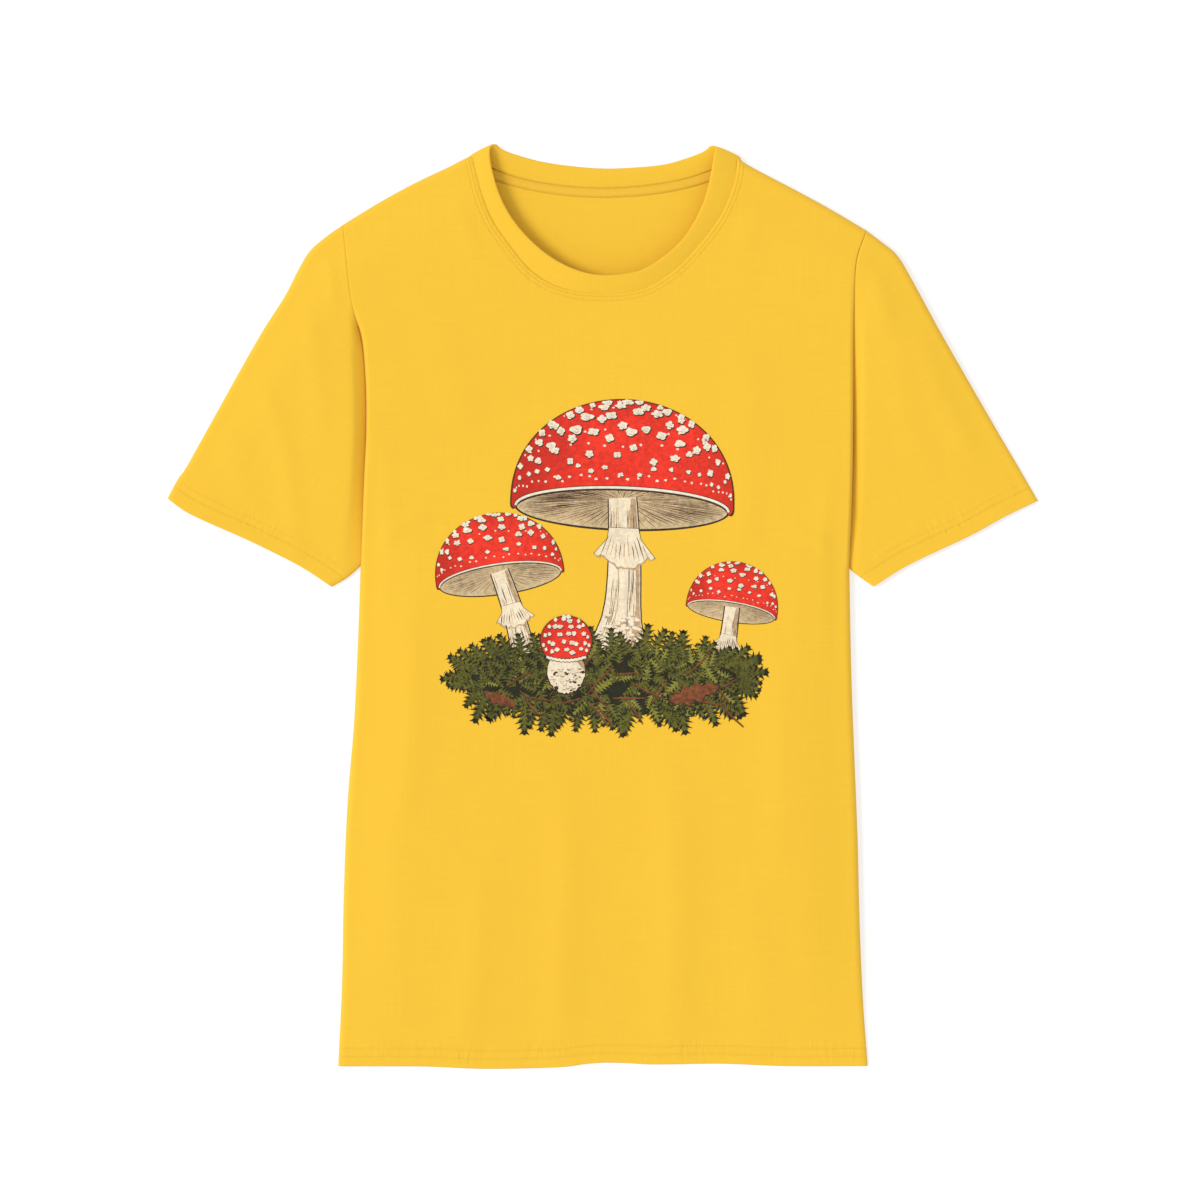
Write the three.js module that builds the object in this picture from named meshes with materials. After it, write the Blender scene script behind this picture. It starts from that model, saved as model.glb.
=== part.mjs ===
// A short-sleeved crew-neck T-shirt lying flat on its back, in millimetres.
//
// Frame: +Z up and out of the chest, +Y towards the collar, +X towards the wearer's left arm.
// The origin is the middle of the footprint, on the surface that the shirt lies on.
//
// The fabric pieces are thin shells: a front and a back panel sewn at the sides and shoulders, two
// sleeves, a folded rib collar and the tape that covers the back neck seam. Sewing threads and seam
// allowances are narrow strips, and the chest print is a thin layer of ink.
import * as THREE from "three";

// ---- driving dimensions -------------------------------------------------------------------------

const BODY_LENGTH = 713; // from the highest point of the collar to the bottom hem
const CHEST_HALF = 189; // half the body's width at the armpits, sides turned under
const HEM_HALF = 204; // half the body's width at the bottom hem
const HEM_Y = -BODY_LENGTH / 2;
const TOP_Y = BODY_LENGTH / 2;

const FABRIC = 0.8; // thickness of a fabric shell
const RIB = 1.6; // thickness of the collar, which is rib folded double
const LOFT = 12; // height of the chest above the surface it lies on
const SEAM_Z = LOFT / 2; // height of the side and shoulder seams
const SEAM_GAP = 0.6; // from the seams' mid height to the end of each panel
const ARMHOLE_Z = LOFT - 2.4; // height of the front layer at the armhole seams
const EDGE_ROUND = 7; // width over which a panel turns down to its seams
const AIR = 0.35; // clear space between a thread, tape or print and the fabric under it
const SEWN_GAP = 2; // clear space across a seam between two pieces of fabric

const THREAD = 0.4; // thickness of a row of stitches
const THREAD_WIDTH = 1.0;
const ALLOWANCE = 6; // width of a seam allowance

// Points on the wearer's left half. The right half is its mirror image.
const ARMPIT = [CHEST_HALF, 29];
const SHOULDER_POINT = [202, 291]; // where the shoulder seam meets the sleeve
const NECK_POINT = [105, 345]; // where the shoulder seam meets the collar
const CUFF_TOP = [335, 82]; // the sleeve hem's outer corner
const CUFF_UNDER = [208.5, 15.5]; // the sleeve hem's corner next to the body
const FRONT_NECK_Y = 242; // the collar seam at the middle of the front
const BACK_NECK_Y = 324; // the collar seam at the middle of the back

const FABRIC_YELLOW = 0xf7c22f;
const THREAD_YELLOW = 0xefb622;
const TAPE_YELLOW = 0xf2bb27;
const INK_RED = 0xd8352a;

// ---- outlines -----------------------------------------------------------------------------------

const spline = (...points) => new THREE.SplineCurve(points.map(([x, y]) => new THREE.Vector2(x, y)));

const SIDE = spline([HEM_HALF, HEM_Y], [200, -286], [197, -192], [190.5, -70], ARMPIT);
const ARMHOLE = spline(ARMPIT, [188, 110], [188.5, 180], [190.5, 226], [194.5, 258], SHOULDER_POINT);
const SHOULDER = spline(NECK_POINT, [148, 325.5], [178, 308], SHOULDER_POINT);
const FRONT_NECK = spline(
  [0, FRONT_NECK_Y], [27, 246], [50, 256], [70, 273], [87, 296], [98, 320], NECK_POINT,
);
const BACK_NECK = spline([0, BACK_NECK_Y], [30, 325.7], [60, 330.6], [86, 338.4], NECK_POINT);
const SLEEVE_TOP = spline(
  SHOULDER_POINT, [214.5, 283], [226, 272.5], [235, 258.5], [246.5, 239], [274, 194], [309, 129], CUFF_TOP,
);

// The curves one after another, as one curve by arc length.
function chain(...curves) {
  const path = new THREE.CurvePath();
  path.curves = curves;
  return path;
}

// A four-sided patch between curves: low and high run with u, left and right with v.
function patch(low, high, left, right) {
  const corners = [low.getPointAt(0), low.getPointAt(1), high.getPointAt(0), high.getPointAt(1)];
  return (u, v) => {
    const point = low.getPointAt(u).multiplyScalar(1 - v).addScaledVector(high.getPointAt(u), v);
    point.addScaledVector(left.getPointAt(v), 1 - u).addScaledVector(right.getPointAt(v), u);
    const shares = [(1 - u) * (1 - v), u * (1 - v), (1 - u) * v, u * v];
    shares.forEach((share, i) => point.addScaledVector(corners[i], -share));
    return point;
  };
}

// A body panel's plan: u runs from the wearer's right side at -1 to the left at 1, and v from the
// hem to the top.
function panelPlan(neck, neckY) {
  const middle = new THREE.LineCurve(new THREE.Vector2(0, HEM_Y), new THREE.Vector2(0, neckY));
  const hem = new THREE.LineCurve(new THREE.Vector2(0, HEM_Y), new THREE.Vector2(HEM_HALF, HEM_Y));
  const half = patch(hem, chain(neck, SHOULDER), middle, chain(SIDE, ARMHOLE));
  return (u, v) => {
    const point = half(Math.abs(u), v);
    point.x *= Math.sign(u);
    return point;
  };
}

// The shortest distance from a point of the left half to a curve.
function distanceTo(curve, steps = 60) {
  const line = curve.getSpacedPoints(steps);
  const segment = new THREE.Line3();
  const nearest = new THREE.Vector3();
  return (x, y) => {
    const point = new THREE.Vector3(Math.abs(x), y, 0);
    const lengths = line.slice(1).map((end, i) => {
      segment.start.set(line[i].x, line[i].y, 0);
      segment.end.set(end.x, end.y, 0);
      return segment.closestPointToPoint(point, true, nearest).distanceTo(point);
    });
    return Math.min(...lengths);
  };
}

const toSide = distanceTo(SIDE);
const toShoulder = distanceTo(SHOULDER);
const toArmhole = distanceTo(ARMHOLE);

// How much of a quarter-round edge's height is left at a distance from the edge.
const turnDown = (distance) => 1 - Math.sqrt(1 - (1 - Math.min(1, distance / EDGE_ROUND)) ** 2);

const FRONT_MID = LOFT - FABRIC / 2;
const BACK_MID = FABRIC / 2;

function frontHeight(x, y) {
  const seams = turnDown(Math.min(toSide(x, y), toShoulder(x, y))) * (FRONT_MID - SEAM_Z - SEAM_GAP);
  return FRONT_MID - Math.max(seams, turnDown(toArmhole(x, y)) * (FRONT_MID - ARMHOLE_Z));
}

function backHeight(x, y) {
  return BACK_MID + turnDown(Math.min(toSide(x, y), toShoulder(x, y))) * (SEAM_Z - SEAM_GAP - BACK_MID);
}

// ---- shells -------------------------------------------------------------------------------------

const normalAt = (surface, u, v, step = 1e-3) => {
  const along = surface(Math.min(1, u + step), v).sub(surface(Math.max(-1, u - step), v));
  const across = surface(u, Math.min(1, v + step)).sub(surface(u, Math.max(0, v - step)));
  return along.cross(across).normalize();
};

// A closed sheet of the given thickness round a surface of (u, v), from a box with its vertices moved.
function sheet(surface, thickness, cells, [uAt, vAt] = [(s) => s, (s) => s]) {
  const geometry = new THREE.BoxGeometry(1, 1, 1, cells[0], cells[1], 1);
  const position = geometry.attributes.position;
  for (let i = 0; i < position.count; i++) {
    const u = uAt(position.getX(i) + 0.5);
    const v = vAt(position.getY(i) + 0.5);
    const point = surface(u, v).addScaledVector(normalAt(surface, u, v), position.getZ(i) * thickness);
    position.setXYZ(i, point.x, point.y, point.z);
  }
  geometry.computeVertexNormals();
  return geometry;
}

// A closed ring whose wall has an outer and an inner face, from a torus with its vertices moved.
// wall(around, along, inner) gives a point: around runs round the ring, along runs across the wall.
function ring(wall, around, along) {
  const sides = 2 * (along + 1);
  const geometry = new THREE.TorusGeometry(2, 1, sides, around);
  const position = geometry.attributes.position;
  for (let i = 0; i < position.count; i++) {
    const side = Math.floor(i / (around + 1)) % sides;
    const turn = (i % (around + 1)) % around;
    const inner = side > along;
    const point = wall(turn / around, (inner ? sides - 1 - side : side) / along, inner);
    position.setXYZ(i, point.x, point.y, point.z);
  }
  geometry.computeVertexNormals();
  return geometry;
}

// A narrow flat strip along points of a surface.
function strip(points, width, thickness, steps) {
  const path = new THREE.CatmullRomCurve3(points);
  const surface = (u, v) => {
    const point = path.getPointAt(u);
    const along = path.getTangentAt(u);
    const across = new THREE.Vector3(-along.y, along.x, 0).normalize();
    return point.addScaledVector(across, (v - 0.5) * width);
  };
  const clamped = (u, v) => surface(Math.max(0, u), v);
  return sheet(clamped, thickness, [steps, 1]);
}

const group = new THREE.Group();

function add(name, geometry, color = FABRIC_YELLOW, roughness = 0.9) {
  const material = new THREE.MeshStandardMaterial({ color, roughness, metalness: 0 });
  const mesh = new THREE.Mesh(geometry, material);
  mesh.name = name;
  group.add(mesh);
}

// The same geometry on the wearer's right side.
function mirrored(geometry) {
  const copy = geometry.clone().scale(-1, 1, 1);
  const index = copy.index.array;
  for (let i = 0; i < index.length; i += 3) [index[i + 1], index[i + 2]] = [index[i + 2], index[i + 1]];
  copy.computeVertexNormals();
  return copy;
}

function addPair(name, geometry, color) {
  add(name + "_left", geometry, color);
  add(name + "_right", mirrored(geometry), color);
}

// ---- body panels --------------------------------------------------------------------------------

const frontPlan = panelPlan(FRONT_NECK, FRONT_NECK_Y);
const backPlan = panelPlan(BACK_NECK, BACK_NECK_Y);
// Columns gather at the side seams, and rows at the armpits and shoulders, where the panels turn down.
const COLUMNS = 30;
const ROWS = [0, 0.12, 0.24, 0.36, 0.47, 0.56, 0.6, 0.64, 0.7, 0.77, 0.84, 0.9, 0.95, 0.985, 1];
const CELLS = [COLUMNS, ROWS.length - 1];
const GATHERED = [(s) => Math.sin((s - 0.5) * Math.PI), (s) => ROWS[Math.round(s * (ROWS.length - 1))]];

function lifted(plan, height) {
  return (u, v) => {
    const { x, y } = plan(u, v);
    return new THREE.Vector3(x, y, height(x, y));
  };
}

const frontSurface = lifted(frontPlan, frontHeight);
const backSurface = lifted(backPlan, backHeight);
add("front_panel", sheet(frontSurface, FABRIC, CELLS, GATHERED));
add("back_panel", sheet(backSurface, FABRIC, CELLS, GATHERED));

// ---- sleeves ------------------------------------------------------------------------------------

// A flattened tube from the armhole to the cuff. Its plan runs with s from the armhole to the cuff and
// with q from the fold along the top of the arm to the underarm seam.
const cuff = new THREE.LineCurve(new THREE.Vector2(...CUFF_TOP), new THREE.Vector2(...CUFF_UNDER));
const underarm = new THREE.LineCurve(new THREE.Vector2(...ARMPIT), new THREE.Vector2(...CUFF_UNDER));
const armholeDown = new THREE.SplineCurve([...ARMHOLE.points].reverse());
const sleevePlan = patch(armholeDown, cuff, SLEEVE_TOP, underarm);
const SLEEVE_EDGE = 0.45; // the sine of the turn at which a sleeve's section reaches its full height
const SLEEVE_ROUND = 0.4; // power that shapes the section's round edges
const SLEEVE_DIP = 0.12; // share of the sleeve's length that slopes down to the armhole

function sleeveWall(around, s, inner) {
  const turn = 2 * Math.PI * around;
  const wall = inner ? FABRIC : 0;
  const q = 0.5 - (0.5 - wall / 200) * Math.cos(turn);
  const plan = sleevePlan(q, s);
  const centre = sleevePlan(0.5, s);
  const top = LOFT - (LOFT - ARMHOLE_Z - FABRIC / 2) * Math.max(0, 1 - s / SLEEVE_DIP);
  const middle = top / 2;
  const lift = Math.min(1, Math.abs(Math.sin(turn)) / SLEEVE_EDGE) ** SLEEVE_ROUND;
  const z = middle + (middle - wall) * Math.sign(Math.sin(turn)) * lift;
  // The end at the armhole stands clear of the body panels.
  const out = sleevePlan(q, Math.min(1, s + 0.02)).sub(plan).normalize().multiplyScalar(SEWN_GAP * (1 - s));
  const squeeze = centre.sub(plan).normalize().multiplyScalar(wall * Math.abs(Math.cos(turn)));
  return new THREE.Vector3(plan.x + out.x + squeeze.x, plan.y + out.y + squeeze.y, z);
}

addPair("sleeve", ring(sleeveWall, 32, 8));

// ---- collar -------------------------------------------------------------------------------------

// A band of folded rib round the neck. It goes over the shoulders at the neck points, so its front
// half shows its outside and its back half its inside.
const closedSpline = (points) => {
  const left = points.map((p) => new THREE.Vector3(...p));
  const right = points.slice(1, -1).reverse().map(([x, y, z]) => new THREE.Vector3(-x, y, z));
  return new THREE.CatmullRomCurve3([...left, ...right], true, "centripetal");
};
const RIB_FRONT_Z = LOFT - RIB / 2;
const COLLAR_SEAM = closedSpline([
  [0, 244.1, RIB_FRONT_Z], [26.2, 248, RIB_FRONT_Z], [48.6, 257.8, RIB_FRONT_Z], [68.3, 274.6, RIB_FRONT_Z],
  [85.2, 297.2, RIB_FRONT_Z], [96.3, 321.2, RIB_FRONT_Z], [102.4, 342, RIB_FRONT_Z],
  [103.2, 347.5, SEAM_Z], [99.5, 346, 2], [84.5, 340.5, 1.6],
  [59.5, 332.3, 1.5], [29.5, 327.4, 1.5], [0, 325.7, 1.5],
]);
const COLLAR_EDGE = closedSpline([
  [0, 256.5, 14.4], [24, 260, 14.3], [44, 270.5, 14], [60, 286.5, 13.6],
  [71.5, 307, 13.2], [79, 331, 12.7], [83.5, 350, LOFT - 0.6],
  [84.3, TOP_Y, SEAM_Z + 0.6], [81, 354.5, 2.4], [64, 347.3, 2],
  [43, 342, 1.8], [21, 339.2, 1.8], [0, 338.4, 1.8],
]);

function collarWall(around, across, inner) {
  const seam = COLLAR_SEAM.getPoint(around);
  const edge = COLLAR_EDGE.getPoint(around);
  const along = COLLAR_SEAM.getTangent(around).add(COLLAR_EDGE.getTangent(around));
  const normal = along.cross(edge.clone().sub(seam)).normalize();
  return seam.lerp(edge, across).addScaledVector(normal, (inner ? -RIB : RIB) / 2);
}
add("collar_rib", ring(collarWall, 52, 2));

// ---- neck tape, on the inside of the back panel just below the collar seam ------------------------

const TAPE_WIDTH = 8;
const tapeLine = [-0.76, -0.52, -0.26, 0, 0.26, 0.52, 0.76].map((share) => {
  const { x, y } = BACK_NECK.getPointAt(Math.abs(share));
  return new THREE.Vector3(Math.sign(share) * x, y - 5.5, FABRIC + AIR + THREAD / 2);
});
add("neck_tape", strip(tapeLine, TAPE_WIDTH, THREAD, 20), TAPE_YELLOW);

// ---- seam allowances: the fabric edges overlocked together inside each seam -----------------------

const TURNED_IN = ALLOWANCE / 2 - FABRIC / 2;
const SEAM_THICKNESS = 2 * (SEAM_GAP - 0.3);

function seamAllowance(curve, from, to, steps) {
  const points = [];
  for (let i = 0; i <= steps; i++) {
    const at = from + ((to - from) * i) / steps;
    const point = curve.getPointAt(at);
    const tangent = curve.getTangentAt(at);
    const inward = new THREE.Vector2(-tangent.y, tangent.x);
    if (inward.x > 0) inward.negate();
    point.addScaledVector(inward, TURNED_IN);
    points.push(new THREE.Vector3(point.x, point.y, SEAM_Z));
  }
  return strip(points, ALLOWANCE, SEAM_THICKNESS, steps);
}

addPair("side_seam", seamAllowance(SIDE, 0.01, 0.985, 12), THREAD_YELLOW);
addPair("shoulder_seam", seamAllowance(SHOULDER, 0.04, 0.95, 8), THREAD_YELLOW);

// The armhole seam is a ring: over the front of the armhole, then back along the rear layer.
const RIDE_FRONT = ARMHOLE_Z - FABRIC / 2 - AIR - THREAD; // under the front layer
const RIDE_BACK = FABRIC + AIR + THREAD; // on the rear layer
function armholeWall(around, across, inner) {
  const front = around < 0.5;
  const share = front ? around * 2 : 2 - around * 2;
  const at = THREE.MathUtils.clamp(share, 0.1, 0.955);
  const point = ARMHOLE.getPointAt(at);
  const tangent = ARMHOLE.getTangentAt(at);
  const outward = new THREE.Vector2(tangent.y, -tangent.x).normalize();
  // The strip's outer face turns from up, on the front, to down, on the rear, round each end.
  const swing = THREE.MathUtils.smoothstep(Math.sin(2 * Math.PI * around), -0.2, 0.2);
  const rise = 2 * swing - 1;
  const lean = -Math.sign(Math.cos(2 * Math.PI * around)) * Math.sqrt(1 - rise * rise);
  const half = (inner ? -THREAD : THREAD) / 2;
  point.addScaledVector(outward, (0.5 - across) * ALLOWANCE).addScaledVector(tangent, lean * half);
  const z = THREE.MathUtils.lerp(RIDE_BACK, RIDE_FRONT, swing) + rise * half;
  return new THREE.Vector3(point.x, point.y, z);
}
addPair("armhole_seam", ring(armholeWall, 40, 1), THREAD_YELLOW);

// ---- twin rows of stitches ----------------------------------------------------------------------

const RIDE = AIR + THREAD / 2; // a row's mid height above the fabric
const HEM_ROWS = { upper: 19, lower: 13 };
const COLLAR_ROWS = { inner: 4, outer: 9 };
const CUFF_ROWS = { upper: 17, lower: 11.5 };
const FLAT_END = EDGE_ROUND + 2; // rows stop short of the turned-down edges

const hemLine = (up, z) => [-1, -0.5, 0, 0.5, 1].map((share) => {
  return new THREE.Vector3(share * (HEM_HALF - FLAT_END), HEM_Y + up, z);
});

for (const [row, up] of Object.entries(HEM_ROWS)) {
  add("hem_thread_" + row, strip(hemLine(up, LOFT + RIDE), THREAD_WIDTH, THREAD, 4), THREAD_YELLOW);
}
const looper = hemLine((HEM_ROWS.upper + HEM_ROWS.lower) / 2, FABRIC + RIDE);
add("hem_looper_thread", strip(looper, ALLOWANCE, THREAD, 4), THREAD_YELLOW);

for (const [row, below] of Object.entries(COLLAR_ROWS)) {
  const rail = [];
  for (const side of [-1, 1]) {
    for (let i = 0; i <= 6; i++) {
      const at = side < 0 ? 0.9 * (1 - i / 6) : (0.9 * (i + 1)) / 7;
      const point = FRONT_NECK.getPointAt(at);
      const tangent = FRONT_NECK.getTangentAt(at);
      point.add(new THREE.Vector2(tangent.y, -tangent.x).multiplyScalar(below));
      rail.push(new THREE.Vector3(side * point.x, point.y, LOFT + RIDE));
    }
  }
  add("collar_thread_" + row, strip(rail, THREAD_WIDTH, THREAD, 28), THREAD_YELLOW);
}

for (const [row, up] of Object.entries(CUFF_ROWS)) {
  const from = new THREE.Vector2(...CUFF_TOP);
  const to = new THREE.Vector2(...CUFF_UNDER);
  const along = to.clone().sub(from).normalize();
  const inward = new THREE.Vector2(along.y, -along.x);
  if (inward.y < 0) inward.negate();
  const length = from.distanceTo(to);
  const line = [26, length / 2, length - 28].map((reach) => {
    const point = from.clone().addScaledVector(along, reach).addScaledVector(inward, up);
    return new THREE.Vector3(point.x, point.y, LOFT + RIDE);
  });
  addPair("cuff_thread_" + row, strip(line, THREAD_WIDTH, THREAD, 3), THREAD_YELLOW);
}

// ---- chest print: a layer of ink in the outline of a clump of toadstools ------------------------

const PRINT_BASE_Y = -92;
const ink = new THREE.Shape();
ink.moveTo(-128, -42);
ink.quadraticCurveTo(-90, -84, 0, PRINT_BASE_Y);
ink.quadraticCurveTo(92, -84, 128, -38);
ink.quadraticCurveTo(120, -16, 118, -12);
ink.quadraticCurveTo(139, -8, 136, 6);
ink.quadraticCurveTo(128, 42, 98, 42);
ink.quadraticCurveTo(84, 40, 80, 34);
ink.quadraticCurveTo(58, 46, 50, 62);
ink.quadraticCurveTo(88, 66, 106, 84);
ink.quadraticCurveTo(96, 162, 14, 163);
ink.quadraticCurveTo(-66, 160, -76, 86);
ink.quadraticCurveTo(-138, 82, -139, 26);
ink.quadraticCurveTo(-120, 8, -96, 6);
ink.quadraticCurveTo(-100, -20, -128, -42);
const print = new THREE.ExtrudeGeometry(ink, { depth: THREAD, bevelEnabled: false, curveSegments: 5 });
print.translate(0, 0, LOFT + AIR);
add("chest_print", print, INK_RED, 0.7);

export default group;
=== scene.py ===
"""A yellow crew-neck T-shirt lying flat on its back, with a clump of toadstools printed on its chest.

Each operator builds one garment piece, or one group of like pieces. Plans are worked out in
millimetres and turned into metres where the mesh is made.
"""
import math
import random

import bmesh
import bpy
import numpy as np
from bpy.props import FloatProperty, FloatVectorProperty, PointerProperty
from mathutils import Matrix, Vector


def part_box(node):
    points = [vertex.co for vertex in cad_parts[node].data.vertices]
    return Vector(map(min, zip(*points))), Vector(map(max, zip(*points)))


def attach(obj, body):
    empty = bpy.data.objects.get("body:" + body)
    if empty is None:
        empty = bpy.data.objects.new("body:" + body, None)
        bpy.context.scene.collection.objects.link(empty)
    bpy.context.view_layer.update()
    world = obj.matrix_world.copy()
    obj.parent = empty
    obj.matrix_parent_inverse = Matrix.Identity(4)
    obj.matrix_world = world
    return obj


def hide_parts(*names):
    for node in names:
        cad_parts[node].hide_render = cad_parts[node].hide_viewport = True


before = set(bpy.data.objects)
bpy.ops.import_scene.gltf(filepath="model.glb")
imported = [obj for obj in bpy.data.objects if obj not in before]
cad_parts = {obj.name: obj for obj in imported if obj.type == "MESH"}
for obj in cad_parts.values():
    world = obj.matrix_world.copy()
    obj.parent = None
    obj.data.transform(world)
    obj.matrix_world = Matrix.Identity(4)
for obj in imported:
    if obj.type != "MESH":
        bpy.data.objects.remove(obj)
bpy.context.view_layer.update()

bl_info = {
    "name": "Laid T-shirt",
    "version": (1, 0, 0),
    "blender": (4, 5, 0),
    "location": "3D View > Sidebar > T-shirt",
    "description": "Builds a crew-neck T-shirt lying flat, with knit, rib, stitching and a chest print",
    "category": "Add Mesh",
}

MM = 0.001
FRONT_LOW, FRONT_HIGH = (np.array(corner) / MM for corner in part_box("front_panel"))
LOFT = FRONT_HIGH[2]                # height of the chest
HEM_Y = FRONT_LOW[1]                # where the bottom hem ends
SIDES = {1: "left", -1: "right"}    # the wearer's sides, by the sign of their X


# ---- settings -----------------------------------------------------------------------------------

def length(name, text, default_mm):
    """A size that a user may change, kept in metres."""
    return FloatProperty(name=name, description=text, default=default_mm * MM, unit="LENGTH", precision=5)


def colour(name, text, default):
    """A colour that a user may change."""
    return FloatVectorProperty(name=name, description=text, default=default, subtype="COLOR",
                               size=3, min=0.0, max=1.0)


class ShirtSizes(bpy.types.PropertyGroup):
    """Sizes of the cloth and the stitching."""
    loft: length("Loft", "Height of the chest above the floor", LOFT - 0.4)
    hem_loft: length("Hem loft", "Height of the front layer at the bottom hem", 4.8)
    cuff_loft: length("Cuff loft", "Height of a sleeve's upper layer at its hem", 5.0)
    cloth: length("Cloth thickness", "Thickness of the jersey", 0.8)
    rib: length("Rib thickness", "Thickness of the folded collar rib", 1.9)
    crease: length("Armhole crease", "Height of the cloth at the bottom of the armhole crease", 2.8)
    side_fall: length("Side fall", "How far the chest falls towards its sides and shoulders", 3.6)
    stitch: length("Stitch length", "Length of one stitch on the surface", 2.6)
    pitch: length("Stitch pitch", "Distance from one stitch to the next", 3.3)
    thread: length("Thread width", "Width of the sewing thread", 0.44)
    wale: length("Wale pitch", "Distance between the columns of the knit", 1.0)
    rib_pitch: length("Rib pitch", "Distance between the ribs of the collar", 2.2)


class ShirtColours(bpy.types.PropertyGroup):
    """Colours of the cloth and the thread."""
    jersey: colour("Jersey", "Dyed cotton of the body and sleeves", (0.81, 0.485, 0.0325))
    rib: colour("Rib", "Dyed cotton of the collar", (0.81, 0.483, 0.0325))
    tape: colour("Neck tape", "Tape over the back neck seam", (0.78, 0.455, 0.035))
    thread: colour("Thread", "Sewing thread", (0.80, 0.47, 0.034))
    floor: colour("Floor", "Plain floor", (0.42, 0.42, 0.42))


class PrintColours(bpy.types.PropertyGroup):
    """Colours of the chest print's inks."""
    cap: colour("Cap red", "Toadstool caps", (0.72, 0.028, 0.012))
    wart: colour("Wart cream", "Warts on the caps", (0.80, 0.72, 0.56))
    stalk: colour("Stalk cream", "Stalks and skirts", (0.78, 0.66, 0.47))
    gill: colour("Gill beige", "Gills under the caps", (0.50, 0.37, 0.20))
    line: colour("Line", "Outlines and shading lines", (0.045, 0.020, 0.010))
    shade: colour("Shade", "Shaded side of stalks and skirts", (0.48, 0.33, 0.18))
    moss: colour("Moss", "Moss in shade", (0.017, 0.018, 0.006))
    leaf: colour("Sprig", "Lit sprigs of moss", (0.100, 0.098, 0.014))
    twig: colour("Twig", "Needles and fallen leaves", (0.19, 0.058, 0.018))


# ---- curves and patches -------------------------------------------------------------------------

def bend(a, b, c, d, steps):
    """Points of a smooth line from b towards c, where a comes before them and d after."""
    t = np.linspace(0, 1, steps, endpoint=False)[:, None]
    return 0.5 * (2 * b + (c - a) * t + (2 * a - 5 * b + 4 * c - d) * t**2 + (3 * b - a - 3 * c + d) * t**3)


def curve(points, steps=24):
    """A smooth line through points. Returns a function from shares of its length to its points."""
    p = np.array(points, float)
    ends = np.vstack([2 * p[0] - p[1], p, 2 * p[-1] - p[-2]])
    spans = [bend(*four, steps) for four in zip(ends, ends[1:], ends[2:], ends[3:])]
    return polyline(np.vstack([*spans, p[-1:]]))


def loop_curve(points, steps=16):
    """A smooth closed line through points, by the share of their count."""
    p = np.array(points, float)
    spans = [bend(*four, steps) for four in zip(np.roll(p, 1, 0), p, np.roll(p, -1, 0), np.roll(p, -2, 0))]
    line = np.vstack([*spans, p[:1]])
    share = np.linspace(0, 1, len(line))
    return lambda s: np.stack([np.interp(s % 1.0, share, line[:, k]) for k in range(3)], -1)


def polyline(line):
    """The same for a line of straight steps."""
    run = np.concatenate([[0], np.cumsum(np.linalg.norm(np.diff(line, axis=0), axis=1))])

    def at(share):
        return np.stack([np.interp(share, run / run[-1], line[:, k]) for k in range(line.shape[1])], -1)

    at.length = run[-1]
    return at


def chain(*curves):
    """Curves one after another, as one."""
    share = np.linspace(0, 1, 160)
    return polyline(np.vstack([c(share) for c in curves]))


def left_of(along):
    """Unit directions in the plan, to the left of other directions."""
    side = np.stack([-along[:, 1], along[:, 0]], -1)
    return side / np.linalg.norm(side, axis=1)[:, None]


def offset_line(line, gap, samples=240):
    """A plan line moved sideways by a gap, to its left."""
    points = line(np.linspace(0, 1, samples))
    return polyline(points + left_of(np.gradient(points, axis=0)) * gap)


def patch(low, high, left, right, fade=1):
    """A four-sided surface between curves: low and high run with u, left and right with v.

    fade is how quickly the right side's bends die out, as a power of u.
    """
    corners = low(0.0), low(1.0), high(0.0), high(1.0)

    def at(u, v):
        a, b = u[:, None] ** fade, v[:, None]
        flat = (1 - b) * low(u) + b * high(u) + (1 - a) * left(v) + a * right(v)
        shares = (1 - a) * (1 - b), a * (1 - b), (1 - a) * b, a * b
        return flat - sum(share * corner for share, corner in zip(shares, corners))

    return at


def nearest(line, points, steps=400):
    """Each point's distance to a curve, and how far along the curve the nearest point is."""
    samples = line(np.linspace(0, 1, steps))
    step = np.diff(samples, axis=0)
    square, norms = (step**2).sum(1), (samples**2).sum(1)
    distance, run = np.full(len(points), np.inf), np.zeros(len(points))
    for i in range(0, len(points), 4000):
        part = points[i:i + 4000, :2]
        vertex = (norms - 2 * (part @ samples.T)).argmin(1)
        for span in (np.maximum(vertex - 1, 0), np.minimum(vertex, steps - 2)):
            offset = part - samples[span]
            t = np.clip((offset * step[span]).sum(1) / square[span], 0, 1)
            gap = np.hypot(*(offset - t[:, None] * step[span]).T)
            closer = gap < distance[i:i + 4000]
            distance[i:i + 4000][closer] = gap[closer]
            run[i:i + 4000][closer] = ((span + t) / (steps - 1) * line.length)[closer]
    return distance, run


def smooth(x, low, high):
    """0 below low, 1 above high, and a smooth step between."""
    t = np.clip((x - low) / (high - low), 0, 1)
    return t * t * (3 - 2 * t)


def round_off(distance, width):
    """How much of a quarter-round edge's height is left at a distance from the edge."""
    return 1 - np.sqrt(1 - (1 - np.clip(distance / width, 0, 1)) ** 2)


# ---- the garment's outline, by side, with X measured outwards from the middle --------------------

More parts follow.
